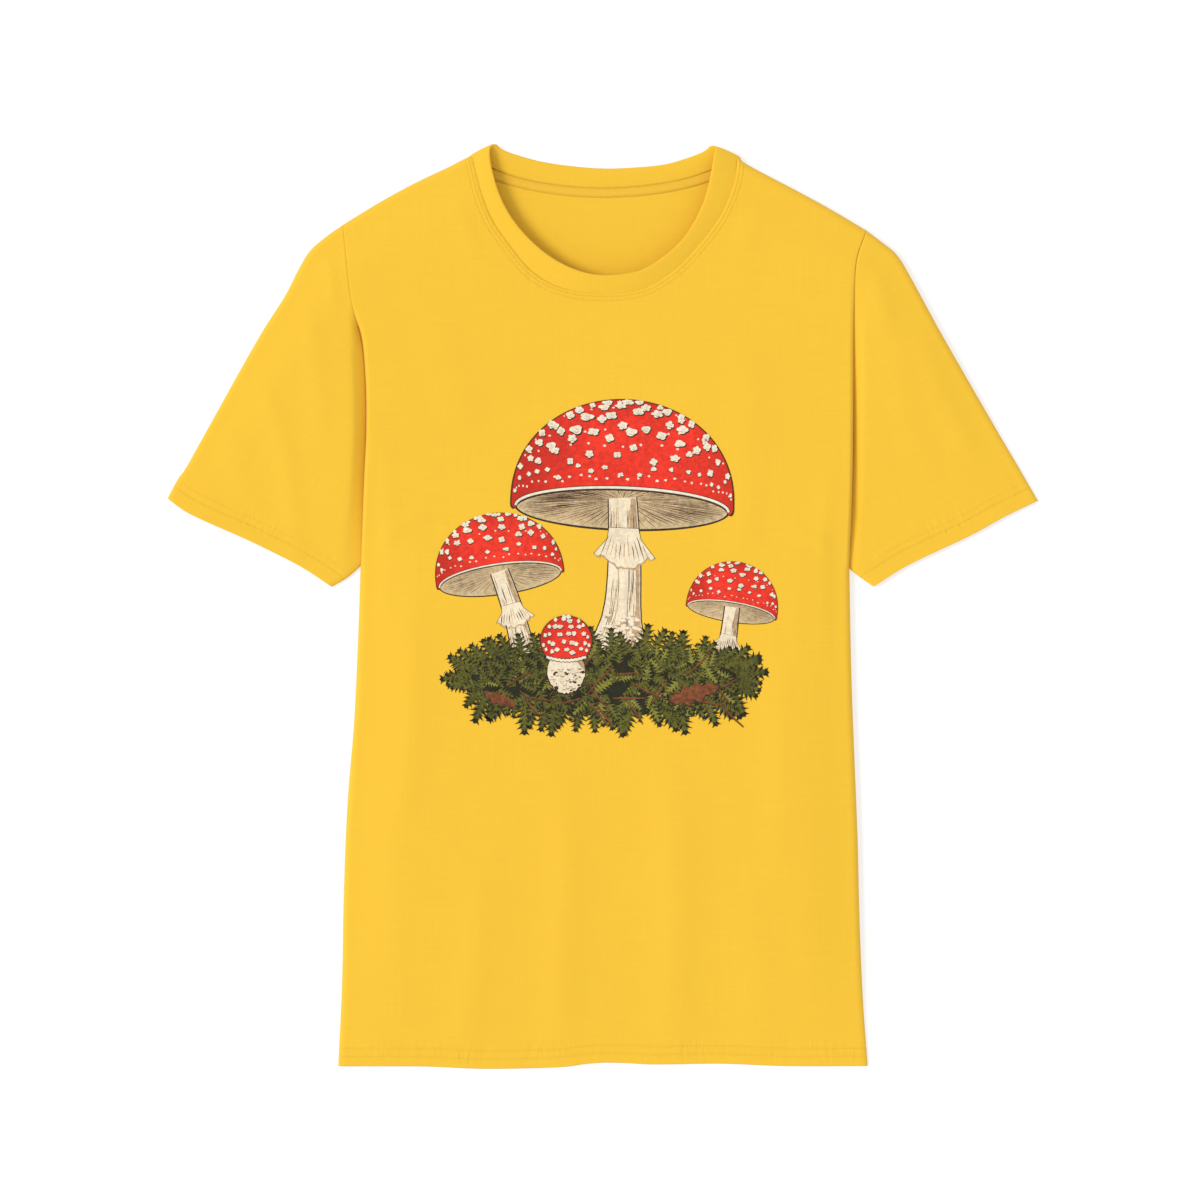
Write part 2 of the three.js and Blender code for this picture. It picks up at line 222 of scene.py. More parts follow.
SIDE = {
    1: [(203.4, HEM_Y + 2.6), (199.6, -302), (197, -241), (195.5, -179), (193.1, -118), (190.8, -56), (189.1, 29.5)],
    -1: [(205, HEM_Y + 2.4), (202, -290), (200.4, -215), (197.6, -150), (192.6, -88), (189.6, -25), (187.6, 31.7)],
}
ARMHOLE = {
    1: [SIDE[1][-1], (191.4, 90), (192.2, 150), (192.2, 205), (192.6, 243), (194.4, 268), (202, 290.2)],
    -1: [SIDE[-1][-1], (185.1, 99), (183.4, 135), (183.6, 170), (186.2, 204), (191.6, 224), (195.2, 242),
         (197.8, 266), (201, 294.6)],
}
NECK = {1: (102.6, 347.4), -1: (101.6, 348)}
SHOULDER = {
    1: [NECK[1], (106.8, 343.2), (120, 335.6), (148, 321), (176, 305.6), ARMHOLE[1][-1]],
    -1: [NECK[-1], (107.4, 345.4), (120, 338.9), (148, 325.5), (176, 310), ARMHOLE[-1][-1]],
}
FRONT_NECK = {
    1: [(0, 241.2), (18, 242.4), (35.4, 247), (55.6, 260.4), (71.6, 277), (87, 297), (96, 315), (101, 331), NECK[1]],
    -1: [(0, 241.2), (20, 242.8), (40, 248.4), (57.4, 260), (73, 278.8), (85.4, 296.8), (93.2, 315), (98.2, 334),
         NECK[-1]],
}
BACK_NECK = {s: [(0, 324), (30, 325.7), (60, 330.6), (86, 338.4), NECK[s]] for s in (1, -1)}
HEM = {
    1: [(0, HEM_Y + 5.4), (18, HEM_Y + 5.0), (40, HEM_Y + 4.0), (90, HEM_Y + 4.6), (140, HEM_Y + 2.8), SIDE[1][0]],
    -1: [(0, HEM_Y + 5.4), (14, HEM_Y + 4.4), (36, HEM_Y + 1.8), (90, HEM_Y + 0.6), (140, HEM_Y + 2.4), SIDE[-1][0]],
}
SLEEVE_TOP = {
    1: [ARMHOLE[1][-1], (214, 281.2), (226, 271), (237, 253), (261, 209), (301, 139.5), (319, 109), (334.6, 82)],
    -1: [ARMHOLE[-1][-1], (213, 286.2), (226.6, 274.4), (236, 259), (246, 239.4), (267, 206), (308, 133),
         (322, 108), (329, 98), (336.6, 83.8)],
}
CUFF = {
    1: [SLEEVE_TOP[1][-1], (310, 70.2), (283, 55.4), (252, 40.8), (230, 29.8), (208, 15.6)],
    -1: [SLEEVE_TOP[-1][-1], (323, 73.8), (305, 65), (273, 50.8), (235, 31.8), (209.8, 15.5)],
}
UNDERARM = {s: [ARMHOLE[s][0], (197.6, 22.8), CUFF[s][-1]] for s in (1, -1)}


def outline(table, side, order=1):
    """A side's curve from a table above, turned to that side. Order -1 runs it backwards."""
    return curve([(side * x, y) for x, y in table[side]][::order])


def whole(table):
    """The curve from the right end of both sides' lines, through the middle, to the left end."""
    return chain(outline(table, -1, order=-1), outline(table, 1))


MIDDLE_FADE = 3  # keeps the bends of the sides out of the middle of a panel


def body_plan(neck_table):
    """The plan of a body panel: u from -1 to 1 across, v from the hem to the top."""
    halves = {}
    for side in (1, -1):
        neck, hem = outline(neck_table, side), outline(HEM, side)
        middle = curve([(0, HEM[1][0][1]), (0, neck_table[1][0][1])])
        top = chain(neck, outline(SHOULDER, side))
        edge = chain(outline(SIDE, side), outline(ARMHOLE, side))
        halves[side] = patch(hem, top, middle, edge, fade=MIDDLE_FADE)
        halves[side].neck_share = neck.length / top.length

    def at(u, v):
        return np.where((u < 0)[:, None], halves[-1](-u, v), halves[1](np.abs(u), v))

    at.neck_share = halves[1].neck_share
    return at


def spread(*stops):
    """Sample positions: (position, spacing up to the next position) pairs, then the last position."""
    found = []
    for (start, gap), (end, _) in zip(stops, [*stops[1:-1], (stops[-1], 0)]):
        found.extend(np.linspace(start, end, max(2, round((end - start) / gap) + 1))[:-1])
    return np.array([*found, stops[-1]])


# ---- how the cloth lies ---------------------------------------------------------------------------

def ridges(points, folds):
    """The height that soft folds add. A fold is its line's points, half width and height."""
    height = np.zeros(len(points))
    for line, width, rise in folds:
        path = curve(line)
        distance, run = nearest(path, points, 60)
        ends = smooth(run / path.length, -0.001, 0.3) * smooth(1 - run / path.length, -0.001, 0.3)
        height += rise * ends * np.exp(-((distance / width) ** 2))
    return height


BODY_FOLDS = [
    ([(-28, -110), (-30, -240), (-36, -372)], 15, 1.5),
    ([(52, -95), (56, -230), (50, -372)], 17, 1.7),
    ([(128, 0), (136, -110), (132, -230)], 13, 0.9),
    ([(-150, 20), (-146, -90), (-164, -200)], 12, 0.8),
    ([(-92, -180), (-100, -280), (-112, -375)], 14, 1.1),
    ([(112, -190), (118, -290), (110, -375)], 18, 0.9),
    ([(108, 225), (112, 120), (104, 10)], 14, 0.7),
    ([(-176, 150), (-166, 60), (-172, -40)], 9, 0.6),
    ([(176, 130), (168, 40), (174, -60)], 8, 0.6),
    ([(-150, 250), (-120, 190), (-100, 120)], 14, 0.5),
    ([(-120, 318), (-104, 292), (-100, 262)], 9, 0.6),
    ([(124, 312), (110, 288), (108, 262)], 9, 0.6),
    ([(-186, 34), (-160, 60), (-128, 74)], 6, 0.5),
    ([(187, 30), (160, 54), (132, 66)], 6, 0.5),
    ([(-205, -330), (-150, -338), (-100, -330)], 8, 0.4),
]
SLEEVE_FOLDS = [
    ([(-268, 190), (-246, 120), (-238, 50), (-240, 24)], 8, 0.9),
    ([(-232, 250), (-222, 190), (-216, 120)], 9, 0.7),
    ([(-300, 140), (-284, 110), (-270, 70)], 10, 0.5),
    ([(236, 235), (262, 160), (296, 96)], 10, 0.9),
    ([(222, 220), (232, 150), (262, 80)], 11, 0.6),
    ([(206, 262), (214, 236), (216, 200)], 7, 0.6),
    ([(-214, 272), (-208, 250), (-206, 226)], 6, 0.5),
    ([(300, 110), (312, 92), (318, 76)], 5, 0.4),
]


# Lengths, widths and heights below are in millimetres.
FLOOR_GAP = 0.3                     # height of the lowest cloth above the floor
HEM_RISE = 120                      # length over which the cloth rises from the bottom hem to the chest
SIDE_REACH = 46                     # width over which the chest falls to its sides
SHOULDER_REACH = 40                 # and to its shoulders
EDGE_ROUND = 5.2                    # radius of the rounded sides
EDGE_DROP = 0.52                    # how much of the height the front panel's edges lose
SEAM_DIP = 0.18                     # how far the cloth dips at the armhole seam
CREASE_ROUND = (4.4, 1.2)           # radius of the cloth beside the seam, and how much less at an open crease
NECK_DIP, NECK_ROUND = 0.9, 2.6     # depth and radius of the front panel's edge under the collar
HEM_DIP, HEM_ROUND = 0.5, 1.4       # depth and radius of its edge at the bottom hem


def armhole_depth(points):
    """How far the armhole crease is open, from 0, sewn smooth near the shoulder, to 1."""
    x, down = points[:, 0], -points[:, 1]
    right = smooth(down, -229, -212) * (0.72 + 0.28 * smooth(down, -205, -90))
    return np.where(x < 0, right, 0.9 * smooth(down, -290, -110))


def in_mm(sizes, *names):
    """Some of the user's sizes, in millimetres."""
    return [getattr(sizes, name) / MM for name in names]


class Body:
    """Heights of the front panel's outer face, for a set of points."""

    def __init__(self, sizes):
        self.sizes = sizes
        self.lines = {side: {name: outline(table, side) for name, table in
                             (("side", SIDE), ("armhole", ARMHOLE), ("shoulder", SHOULDER),
                              ("neck", FRONT_NECK), ("hem", HEM))} for side in (1, -1)}

    def reach(self, points, name):
        """Distance to a line of the outline and the run along it, by side."""
        distance, run = np.empty(len(points)), np.empty(len(points))
        for side in (1, -1):
            mine = np.where(points[:, 0] < 0, -1, 1) == side
            distance[mine], run[mine] = nearest(self.lines[side][name], points[mine])
            run[mine] *= side
        return distance, run

    def level(self, points):
        """Height of the chest before its edges, creases and folds, and the distances behind it."""
        full, hem_loft, fall = in_mm(self.sizes, "loft", "hem_loft", "side_fall")
        hem, side, shoulder = (self.reach(points, name)[0] for name in ("hem", "side", "shoulder"))
        rise = smooth(hem, 0, HEM_RISE)
        top = hem_loft + (full - hem_loft) * rise
        top = top - fall * (1 - smooth(side, 0, SIDE_REACH)) * (0.25 + 0.75 * rise)
        return top - 0.7 * fall * (1 - smooth(shoulder, 0, SHOULDER_REACH)), hem, side, shoulder

    def seam(self, points, top=None):
        """Height of the armhole seam, in cloth that would lie at top."""
        if top is None:
            top = self.level(points)[0]
        depth = armhole_depth(points)
        return (top - SEAM_DIP) * (1 - depth) + self.sizes.crease / MM * depth

    def height(self, points):
        """Height of the outer face, with its edges, creases and folds."""
        top, hem, side, shoulder = self.level(points)
        edges = np.minimum(side, shoulder * 0.85)
        outer = round_off(edges, EDGE_ROUND) * (top * EDGE_DROP)
        armhole, neck = (self.reach(points, name)[0] for name in ("armhole", "neck"))
        radius = CREASE_ROUND[0] - CREASE_ROUND[1] * armhole_depth(points)
        drop = round_off(armhole, radius) * (top - self.seam(points, top))
        level = top - np.maximum(outer, drop) - NECK_DIP * round_off(neck, NECK_ROUND)
        still = smooth(np.minimum(edges, armhole), 2, 22) * smooth(neck, 4, 24)
        return level + ridges(points, BODY_FOLDS) * still - HEM_DIP * round_off(hem, HEM_ROUND)


# ---- meshes ---------------------------------------------------------------------------------------

def grid(us, vs, place, maps):
    """A grid whose vertices are moved to place(u, v), with UV maps from maps(u, v, points)."""
    bm = bmesh.new()
    bmesh.ops.create_grid(bm, x_segments=len(us) - 1, y_segments=len(vs) - 1, size=0.5)
    flat = np.array([vert.co for vert in bm.verts])
    u = us[np.rint((flat[:, 0] + 0.5) * (len(us) - 1)).astype(int)]
    v = vs[np.rint((flat[:, 1] + 0.5) * (len(vs) - 1)).astype(int)]
    points = place(u, v)
    for name, co in maps(u, v, points).items():
        layer = bm.loops.layers.uv.new(name)
        for face in bm.faces:
            for loop in face.loops:
                loop[layer].uv = co[loop.vert.index]
    for vert, point in zip(bm.verts, points * MM):
        vert.co = point
    return bm


def new_object(name, bm, material):
    """Turns a bmesh into an object in the scene."""
    mesh = bpy.data.meshes.new(name)
    bm.to_mesh(mesh)
    bm.free()
    mesh.materials.append(material)
    made = bpy.data.objects.new(name, mesh)
    bpy.context.scene.collection.objects.link(made)
    return made


def finish_piece(name, bm, material, replaces=()):
    """Turns a bmesh into a piece that rides on the frame."""
    piece = new_object(name, bm, material)
    piece.data.shade_smooth()
    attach(piece, "root")
    if replaces:
        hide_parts(*replaces)
    return piece


def thicken(piece, thickness):
    """Gives a sheet its thickness, inwards from its outer face."""
    wall = piece.modifiers.new("Cloth", "SOLIDIFY")
    wall.thickness = thickness
    wall.offset = -1
    return piece


# ---- shader node groups ---------------------------------------------------------------------------

FIBRE_SCALE = 2600.0   # stray fibres on yarn, as a noise scale
COURSE_RATIO = 0.78    # height of a knitted loop, of its width
RIB_LOOP = 0.0009      # length of a loop along a rib, in metres
PLY_PITCH = 0.0007     # length of one turn of a thread's plies
TWILL_PITCH = 0.0011   # distance between the tape's slanting lines


def socket_kind(default):
    """The socket type for a default value."""
    if isinstance(default, float):
        return "NodeSocketFloat"
    return "NodeSocketColor" if len(default) == 4 else "NodeSocketVector"


class Nodes:
    """Short calls for building a node tree."""

    def __init__(self, tree):
        self.tree = tree

    def put(self, value, socket):
        """A link or a plain value, into a socket."""
        if isinstance(value, bpy.types.NodeSocket):
            self.tree.links.new(value, socket)
        else:
            socket.default_value = value

    def add(self, kind, inputs=None, **settings):
        node = self.tree.nodes.new(kind)
        for key, value in settings.items():
            setattr(node, key, value)
        for key, value in (inputs or {}).items():
            self.put(value, node.inputs[key])
        return node

    def math(self, operation, a, b=0.0, clamp=False):
        return self.add("ShaderNodeMath", {0: a, 1: b}, operation=operation, use_clamp=clamp).outputs[0]

    def times(self, value, factor):
        return self.math("MULTIPLY", value, factor)

    def total(self, *terms):
        """The sum of (value, weight) pairs."""
        found = self.times(*terms[0])
        for term in terms[1:]:
            found = self.math("ADD", found, self.times(*term))
        return found

    def away(self, value, middle):
        """How far a value is from a middle one."""
        return self.math("ABSOLUTE", self.math("SUBTRACT", value, middle))

    def wave(self, value, pitch=1.0):
        return self.math("SINE", self.times(value, math.tau / pitch))

    def swell(self, value):
        """A wave from 0 to 1, once for each step of 1."""
        return self.math("ADD", self.times(self.wave(value), 0.5), 0.5)

    def split(self, vector):
        return self.add("ShaderNodeSeparateXYZ", {0: vector}).outputs

    def ramp(self, value, low, high, start=0.0, end=1.0):
        return self.add("ShaderNodeMapRange", {"Value": value, "From Min": low, "From Max": high, "To Min": start,
                                               "To Max": end}, interpolation_type="SMOOTHSTEP").outputs["Result"]

    def noise(self, vector, scale, detail=2.0, rough=0.5):
        return self.add("ShaderNodeTexNoise", {"Vector": vector, "Scale": scale, "Detail": detail,
                                               "Roughness": rough}).outputs["Fac"]

    def stretched_noise(self, vector, stretch, scale):
        longer = self.add("ShaderNodeVectorMath", {0: vector, 1: stretch}, operation="MULTIPLY").outputs[0]
        return self.noise(longer, scale, 2.0, 0.6)

    def fibres(self, vector):
        return self.noise(vector, FIBRE_SCALE, 3.0, 0.7)

    def tint(self, tone, hue, saturation, value):
        return self.add("ShaderNodeHueSaturation", {"Hue": hue, "Saturation": saturation, "Value": value,
                                                    "Fac": 1.0, "Color": tone}).outputs[0]

    def mix(self, share, a, b):
        node = self.add("ShaderNodeMix", {"Factor": share}, data_type="RGBA")
        self.put(a, node.inputs[6])
        self.put(b, node.inputs[7])
        return node.outputs[2]


def jersey_knit(n, source):
    """Columns of V-shaped loops, softened with stray fibres."""
    x, y, _ = n.split(source["Vector"])
    column = n.away(n.math("FRACT", n.math("DIVIDE", x, source["Wale"])), 0.5)
    course = n.math("DIVIDE", y, n.times(source["Wale"], COURSE_RATIO))
    leg = n.wave(n.math("ADD", course, n.times(column, 1.3)))
    loops = n.times(n.math("ADD", n.times(leg, 0.5), 0.9), n.wave(column))
    height = n.total((loops, 0.6), (n.fibres(source["Vector"]), 0.7))
    # Loops marks the loops' crests, where the jersey paints a highlight.
    return {"Height": height, "Loops": n.math("MULTIPLY", loops, 0.7, clamp=True)}


def rib_knit(n, source):
    """Raised columns with furrows between them, along V."""
    x, y, _ = n.split(source["Vector"])
    column = n.swell(n.math("DIVIDE", x, source["Pitch"]))
    height = n.total((column, 1.0), (n.wave(y, RIB_LOOP), 0.12), (n.fibres(source["Vector"]), 0.4))
    # Furrow marks the furrows between the ribs, where the collar paints shade.
    return {"Height": height, "Furrow": n.math("SUBTRACT", 1.0, column)}


def dye_streaks(n, source):
    """Faint uneven lines of yarn across and along the knit, and slow drifts of tone."""
    along = n.stretched_noise(source["Vector"], (1.0, 0.035, 1.0), 620.0)
    rows = n.stretched_noise(source["Vector"], (0.05, 1.0, 1.0), 560.0)
    drift = n.noise(source["Vector"], 9.0, 3.0, 0.5)
    fine = n.noise(source["Vector"], 1500.0, 2.0, 0.7)
    mask = n.ramp(n.total((along, 0.3), (rows, 0.34), (drift, 0.16), (fine, 0.2)), 0.36, 0.64)
    dark, light = n.tint(source["Colour"], 0.498, 1.001, 0.988), n.tint(source["Colour"], 0.502, 0.999, 1.006)
    return {"Colour": n.mix(mask, dark, light), "Mask": mask}


def seam_pucker(n, source):
    """Grooves along two stitch rows, at V 1 and 2, with small puckers across them. U is the run."""
    run, gap, _ = n.split(source["Vector"])
    first, second = (n.ramp(n.away(gap, row), 0.0, 0.3, 1.0, 0.0) for row in (1.0, 2.0))
    groove = n.math("MAXIMUM", first, n.times(second, source["Second row"]))
    inside = n.times(n.ramp(gap, 2.2, 3.6, 1.0, 0.0), n.ramp(gap, 0.1, 0.8))
    places = n.add("ShaderNodeCombineXYZ", {0: run, 1: n.times(gap, 0.0016)}).outputs[0]
    ripple = n.math("SUBTRACT", n.noise(places, 210.0, 2.0, 0.6), 0.5)
    strength = n.ramp(n.noise(places, 22.0, 1.0, 0.5), 0.4, 0.65, 0.15, 1.0)
    pucker = n.times(n.times(ripple, 5.5), strength)
    # Groove marks the stitch rows' grooves, where the jersey paints shade.
    return {"Height": n.math("SUBTRACT", n.times(pucker, inside), groove), "Groove": groove}


def twisted_thread(n, source):
    """Slanting plies along a stitch. U is the run in metres, V goes round."""
    run, turn, _ = n.split(source["Vector"])
    # Height also sets the thread's painted shade in the ply grooves and highlight on the crests.
    return {"Height": n.swell(n.math("ADD", n.math("DIVIDE", run, PLY_PITCH), turn))}


def ink_film(n, source):
    """Printed ink: a mottled tone with fine flecks."""
    mottle = n.noise(source["Vector"], 260.0, 4.0, 0.7)
    broad = n.noise(source["Vector"], 38.0, 2.0, 0.5)
    speck = n.ramp(n.noise(source["Vector"], 1300.0, 2.0, 0.6), 0.56, 0.68)
    mask = n.ramp(n.total((mottle, 0.7), (broad, 0.3)), 0.36, 0.64)
    tone = n.mix(mask, source["Dark"], source["Light"])
    return {"Colour": n.mix(n.times(speck, source["Specks"]), tone, source["Fleck"]), "Mask": mask}


PLACE, BLACK = (0.0, 0.0, 0.0), (0.0, 0.0, 0.0, 1.0)
VALUE, TINT = "NodeSocketFloat", "NodeSocketColor"
EFFECTS = {
    "Jersey knit": (jersey_knit, {"Wale": 0.001}, {"Height": VALUE, "Loops": VALUE}),
    "Rib knit": (rib_knit, {"Pitch": 0.002}, {"Height": VALUE, "Furrow": VALUE}),
    "Dye streaks": (dye_streaks, {"Colour": BLACK}, {"Colour": TINT, "Mask": VALUE}),
    "Seam pucker": (seam_pucker, {"Second row": 1.0}, {"Height": VALUE, "Groove": VALUE}),
    "Twisted thread": (twisted_thread, {}, {"Height": VALUE}),
    "Ink film": (ink_film, {"Dark": BLACK, "Light": BLACK, "Fleck": BLACK, "Specks": 0.0},
                 {"Colour": TINT, "Mask": VALUE}),
}


def effect(name):
    """A shader node group with named inputs and outputs, built on first use."""
    if name in bpy.data.node_groups:
        return bpy.data.node_groups[name]
    build, inputs, outputs = EFFECTS[name]
    tree = bpy.data.node_groups.new(name, "ShaderNodeTree")
    for key, default in {"Vector": PLACE, **inputs}.items():
        made = tree.interface.new_socket(key, in_out="INPUT", socket_type=socket_kind(default))
        made.default_value = default
    for key, kind in outputs.items():
        tree.interface.new_socket(key, in_out="OUTPUT", socket_type=kind)
    nodes = Nodes(tree)
    nodes.add("NodeGroupOutput", build(nodes, nodes.add("NodeGroupInput").outputs))
    return tree


# ---- materials ------------------------------------------------------------------------------------

INK_WALE = 0.001  # pitch of the knit that shows through the ink, in metres


def shade(rgb, factor=1.0):
    """A colour times a factor, with alpha."""
    return (*(min(1.0, channel * factor) for channel in rgb), 1.0)


class Finish:
    """A material with a Principled shader and calls for what feeds it."""

    def __init__(self, name, roughness, sheen=0.0):
        self.material = bpy.data.materials.new(name)
        self.material.use_nodes = True
        self.nodes = Nodes(self.material.node_tree)
        self.shader = self.material.node_tree.nodes["Principled BSDF"]
        for key, value in (("Roughness", roughness), ("Specular IOR Level", 0.25), ("Sheen Weight", sheen),
                           ("Sheen Roughness", 0.45)):
            self.shader.inputs[key].default_value = value

    def uv(self, name):
        return self.nodes.add("ShaderNodeUVMap", uv_map=name).outputs[0]

    def place(self):
        return self.nodes.add("ShaderNodeTexCoord").outputs["Object"]

    def effect(self, name, vector, **inputs):
        """A node group's outputs. An input's name has _ for a space."""
        named = {key.replace("_", " "): value for key, value in inputs.items()}
        return self.nodes.add("ShaderNodeGroup", {"Vector": vector, **named}, node_tree=effect(name)).outputs

    def bump(self, height, distance, strength, **before):
        """A bumpy normal. before may hold the Normal that it adds to."""
        inputs = {"Height": height, "Distance": distance, "Strength": strength, **before}
        return self.nodes.add("ShaderNodeBump", inputs).outputs[0]

    def worn(self, share, amount, tone, other):
        """A tone that turns partly into another colour where share is high. On the cloth this paints shade into
        grooves and furrows and a highlight on the knit's loops; on the caps it is the print's own shading.
        """
        return self.nodes.mix(self.nodes.times(share, amount), tone, other)

    def done(self, tone, normal):
        """The finished material, from its colour and its normal."""
        self.nodes.put(tone, self.shader.inputs["Base Color"])
        self.nodes.put(normal, self.shader.inputs["Normal"])
        return self.material


def knit_material(name, colours, sizes, second_row):
    """Cotton jersey, with puckers along its stitch rows where the piece has them."""
    finish = Finish(name, 0.88, 0.12)
    cloth = finish.uv("Cloth")
    knit = finish.effect("Jersey knit", cloth, Wale=sizes.wale)
    dye = finish.effect("Dye streaks", cloth, Colour=shade(colours.jersey))
    pucker = finish.effect("Seam pucker", finish.uv("Seam"), Second_row=second_row)
    # Painted highlight: the crests of the knit's loops are lightened.
    tone = finish.worn(knit["Loops"], 0.16, dye["Colour"], shade(colours.jersey, 1.07))
    # Painted shade: the cloth is darkened in the stitch rows' grooves.
    tone = finish.worn(pucker["Groove"], 0.06, tone, shade(colours.jersey, 0.75))
    normal = finish.bump(knit["Height"], 0.00012, 0.55)
    return finish.done(tone, finish.bump(pucker["Height"], 0.0004, 0.6, Normal=normal))


def rib_material(name, colours, sizes):
    """Rib knit of the collar."""
    finish = Finish(name, 0.88, 0.12)
    cloth = finish.uv("Cloth")
    rib = finish.effect("Rib knit", cloth, Pitch=sizes.rib_pitch)
    dye = finish.effect("Dye streaks", cloth, Colour=shade(colours.rib))
    # Painted shade: the furrows between the ribs are darkened.
    tone = finish.worn(rib["Furrow"], 0.07, dye["Colour"], shade(colours.rib, 0.72))
    return finish.done(tone, finish.bump(rib["Height"], 0.00014, 0.5))


def tape_material(name, colours):
    """Narrow woven tape, with a twill of slanting lines."""
    finish = Finish(name, 0.85, 0.1)
    cloth, nodes = finish.uv("Cloth"), finish.nodes
    x, y, _ = nodes.split(cloth)
    wave = nodes.wave(nodes.math("ADD", x, nodes.math("ABSOLUTE", y)), TWILL_PITCH)
    dye = finish.effect("Dye streaks", cloth, Colour=shade(colours.tape))
    tone = nodes.mix(nodes.ramp(wave, -1.0, 1.0, 0.0, 0.08), dye["Colour"], shade(colours.tape, 0.75))
    return finish.done(tone, finish.bump(wave, 0.00005, 0.4))


def thread_material(name, colours):
    """Spun sewing thread."""
    finish = Finish(name, 0.7, 0.1)
    twist = finish.effect("Twisted thread", finish.uv("Cloth"))["Height"]
    # Painted shade and highlight: the plies are darker in their grooves and lighter on their crests.
    tone = finish.nodes.mix(twist, shade(colours.thread, 0.86), shade(colours.thread, 1.06))
    return finish.done(tone, finish.bump(twist, 0.00008, 0.6))


def ink_finish(name, dark, light, fleck, specks):
    """An ink's finish, its colour and the normal of the knit under it."""
    finish = Finish(name, 0.75)
    place = finish.place()
    ink = finish.effect("Ink film", place, Dark=dark, Light=light, Fleck=fleck, Specks=specks)
    knit = finish.effect("Jersey knit", place, Wale=INK_WALE)
    return finish, ink["Colour"], finish.bump(knit["Height"], 0.0001, 0.4)


def ink_material(name, *tones):
    """One printed colour."""
    finish, tone, normal = ink_finish(name, *tones)
    return finish.done(tone, normal)


def cap_material(name, inks):
    """Cap red: deeper towards the rim and the sides. UV is the cap's own place."""
    finish, tone, normal = ink_finish(name, shade(inks.cap, 0.82), shade(inks.cap, 1.2), shade(inks.wart, 0.5), 0.12)
    x, y, _ = finish.nodes.split(finish.uv("Own"))
    side = finish.nodes.ramp(finish.nodes.away(x, 0.12), 0.45, 1.02)
    deep = finish.nodes.math("MAXIMUM", side, finish.nodes.ramp(y, 0.75, 1.05))
    return finish.done(finish.worn(deep, 0.62, tone, shade(inks.cap, 0.5)), normal)


def material_once(name, make, *inputs):
    """A material by its name, made on first use."""
    return bpy.data.materials.get(name) or make(name, *inputs)


# ---- body panels ------------------------------------------------------------------------------------

HEM_ROWS = (7.6, 13.8)      # the two stitch rows' distances from the bottom hem
COLLAR_ROWS = (2.8, 5.8)    # from the collar's seam
CUFF_ROWS = (11.5, 17.0)    # and from a sleeve's hem
BACK_EDGE = 0.48            # height of the back panel's edges, of the chest's height there
HEM_BOW = 3.5               # mean distance from the lowest point of the hem to its edge


def seam_map(*edges):
    """The Seam UV map: the run along the nearest stitched edge, and the distance from it.

    The distance is scaled so that the edge's two stitch rows are at 1 and 2.
    """
    runs = np.stack([run for _, run, _ in edges])
    scaled = np.stack([1 + (distance - rows[0]) / (rows[1] - rows[0]) for distance, _, rows in edges])
    best, at = scaled.argmin(0), np.arange(scaled.shape[1])
    return np.stack([runs[best, at] * MM, scaled[best, at]], -1)


def both_ways(half):
    """Sample positions from -1 to 1 out of those from 0 to 1."""
    return np.concatenate([-half[:0:-1], half])


def panel(neck_table, gaps, edge, up, height, seam):
    """A body panel's bmesh. height(points) is its outer face's, and seam(points) its Seam UV map.

    gaps are the spacings within the neck's width and beyond it, and edge and up are stops for spread.
    """
    plan = body_plan(neck_table)

    def place(u, v):
        flat = plan(u, v)
        return np.column_stack([flat, height(flat)])

    def maps(u, v, points):
        return {"Cloth": points[:, :2] * MM, "Seam": seam(points)}

    across = spread((0, gaps[0]), (plan.neck_share, gaps[1]), *edge, 1.0)
    return grid(both_ways(across), spread(*up, 1.0), place, maps)


def build_front(sizes, material):
    body = Body(sizes)

    def seam(points):
        return seam_map((*body.reach(points, "hem"), HEM_ROWS), (*body.reach(points, "neck"), COLLAR_ROWS))

    bm = panel(FRONT_NECK, (0.0145, 0.0125), ((0.93, 0.007), (0.975, 0.0036)),
               ((0, 0.0009), (0.0036, 0.0022), (0.04, 0.0054), (0.555, 0.0042), (0.63, 0.0054), (0.93, 0.0044),
                (0.976, 0.0026), (0.994, 0.0012)), body.height, seam)
    return thicken(finish_piece("front_panel_cloth", bm, material, ["front_panel"]), sizes.cloth)


def build_back(sizes, material):
    body = Body(sizes)

    def height(points):
        """The back lies on the floor and turns up at its edges."""
        top, _, side, shoulder = body.level(points)
        return FLOOR_GAP + round_off(np.minimum(side, shoulder), EDGE_ROUND) * (top * BACK_EDGE - FLOOR_GAP)

    def seam(points):
        return seam_map((points[:, 1] - HEM_Y - HEM_BOW, points[:, 0], HEM_ROWS))

    bm = panel(BACK_NECK, (0.03, 0.03), ((0.94, 0.012), (0.98, 0.005)),
               ((0, 0.0015), (0.006, 0.005), (0.04, 0.012), (0.94, 0.006), (0.988, 0.003)), height, seam)
    bmesh.ops.reverse_faces(bm, faces=bm.faces)
    return thicken(finish_piece("back_panel_cloth", bm, material, ["back_panel"]), sizes.cloth)


# ---- sleeves ----------------------------------------------------------------------------------------

CUFF_RISE = 150         # length over which a sleeve rises from its hem to the chest
FOLD_REACH = 36         # width over which it falls to the fold along the top of the arm
FOLD_ROUND = 5.0        # radius of its folds
SLEEVE_DROP = 0.5       # how far the sleeve lies below the chest
TUCK_IN = 1.3           # how far its sewn edge goes under the body
TUCK_UNDER = 0.9        # and below the body's edge


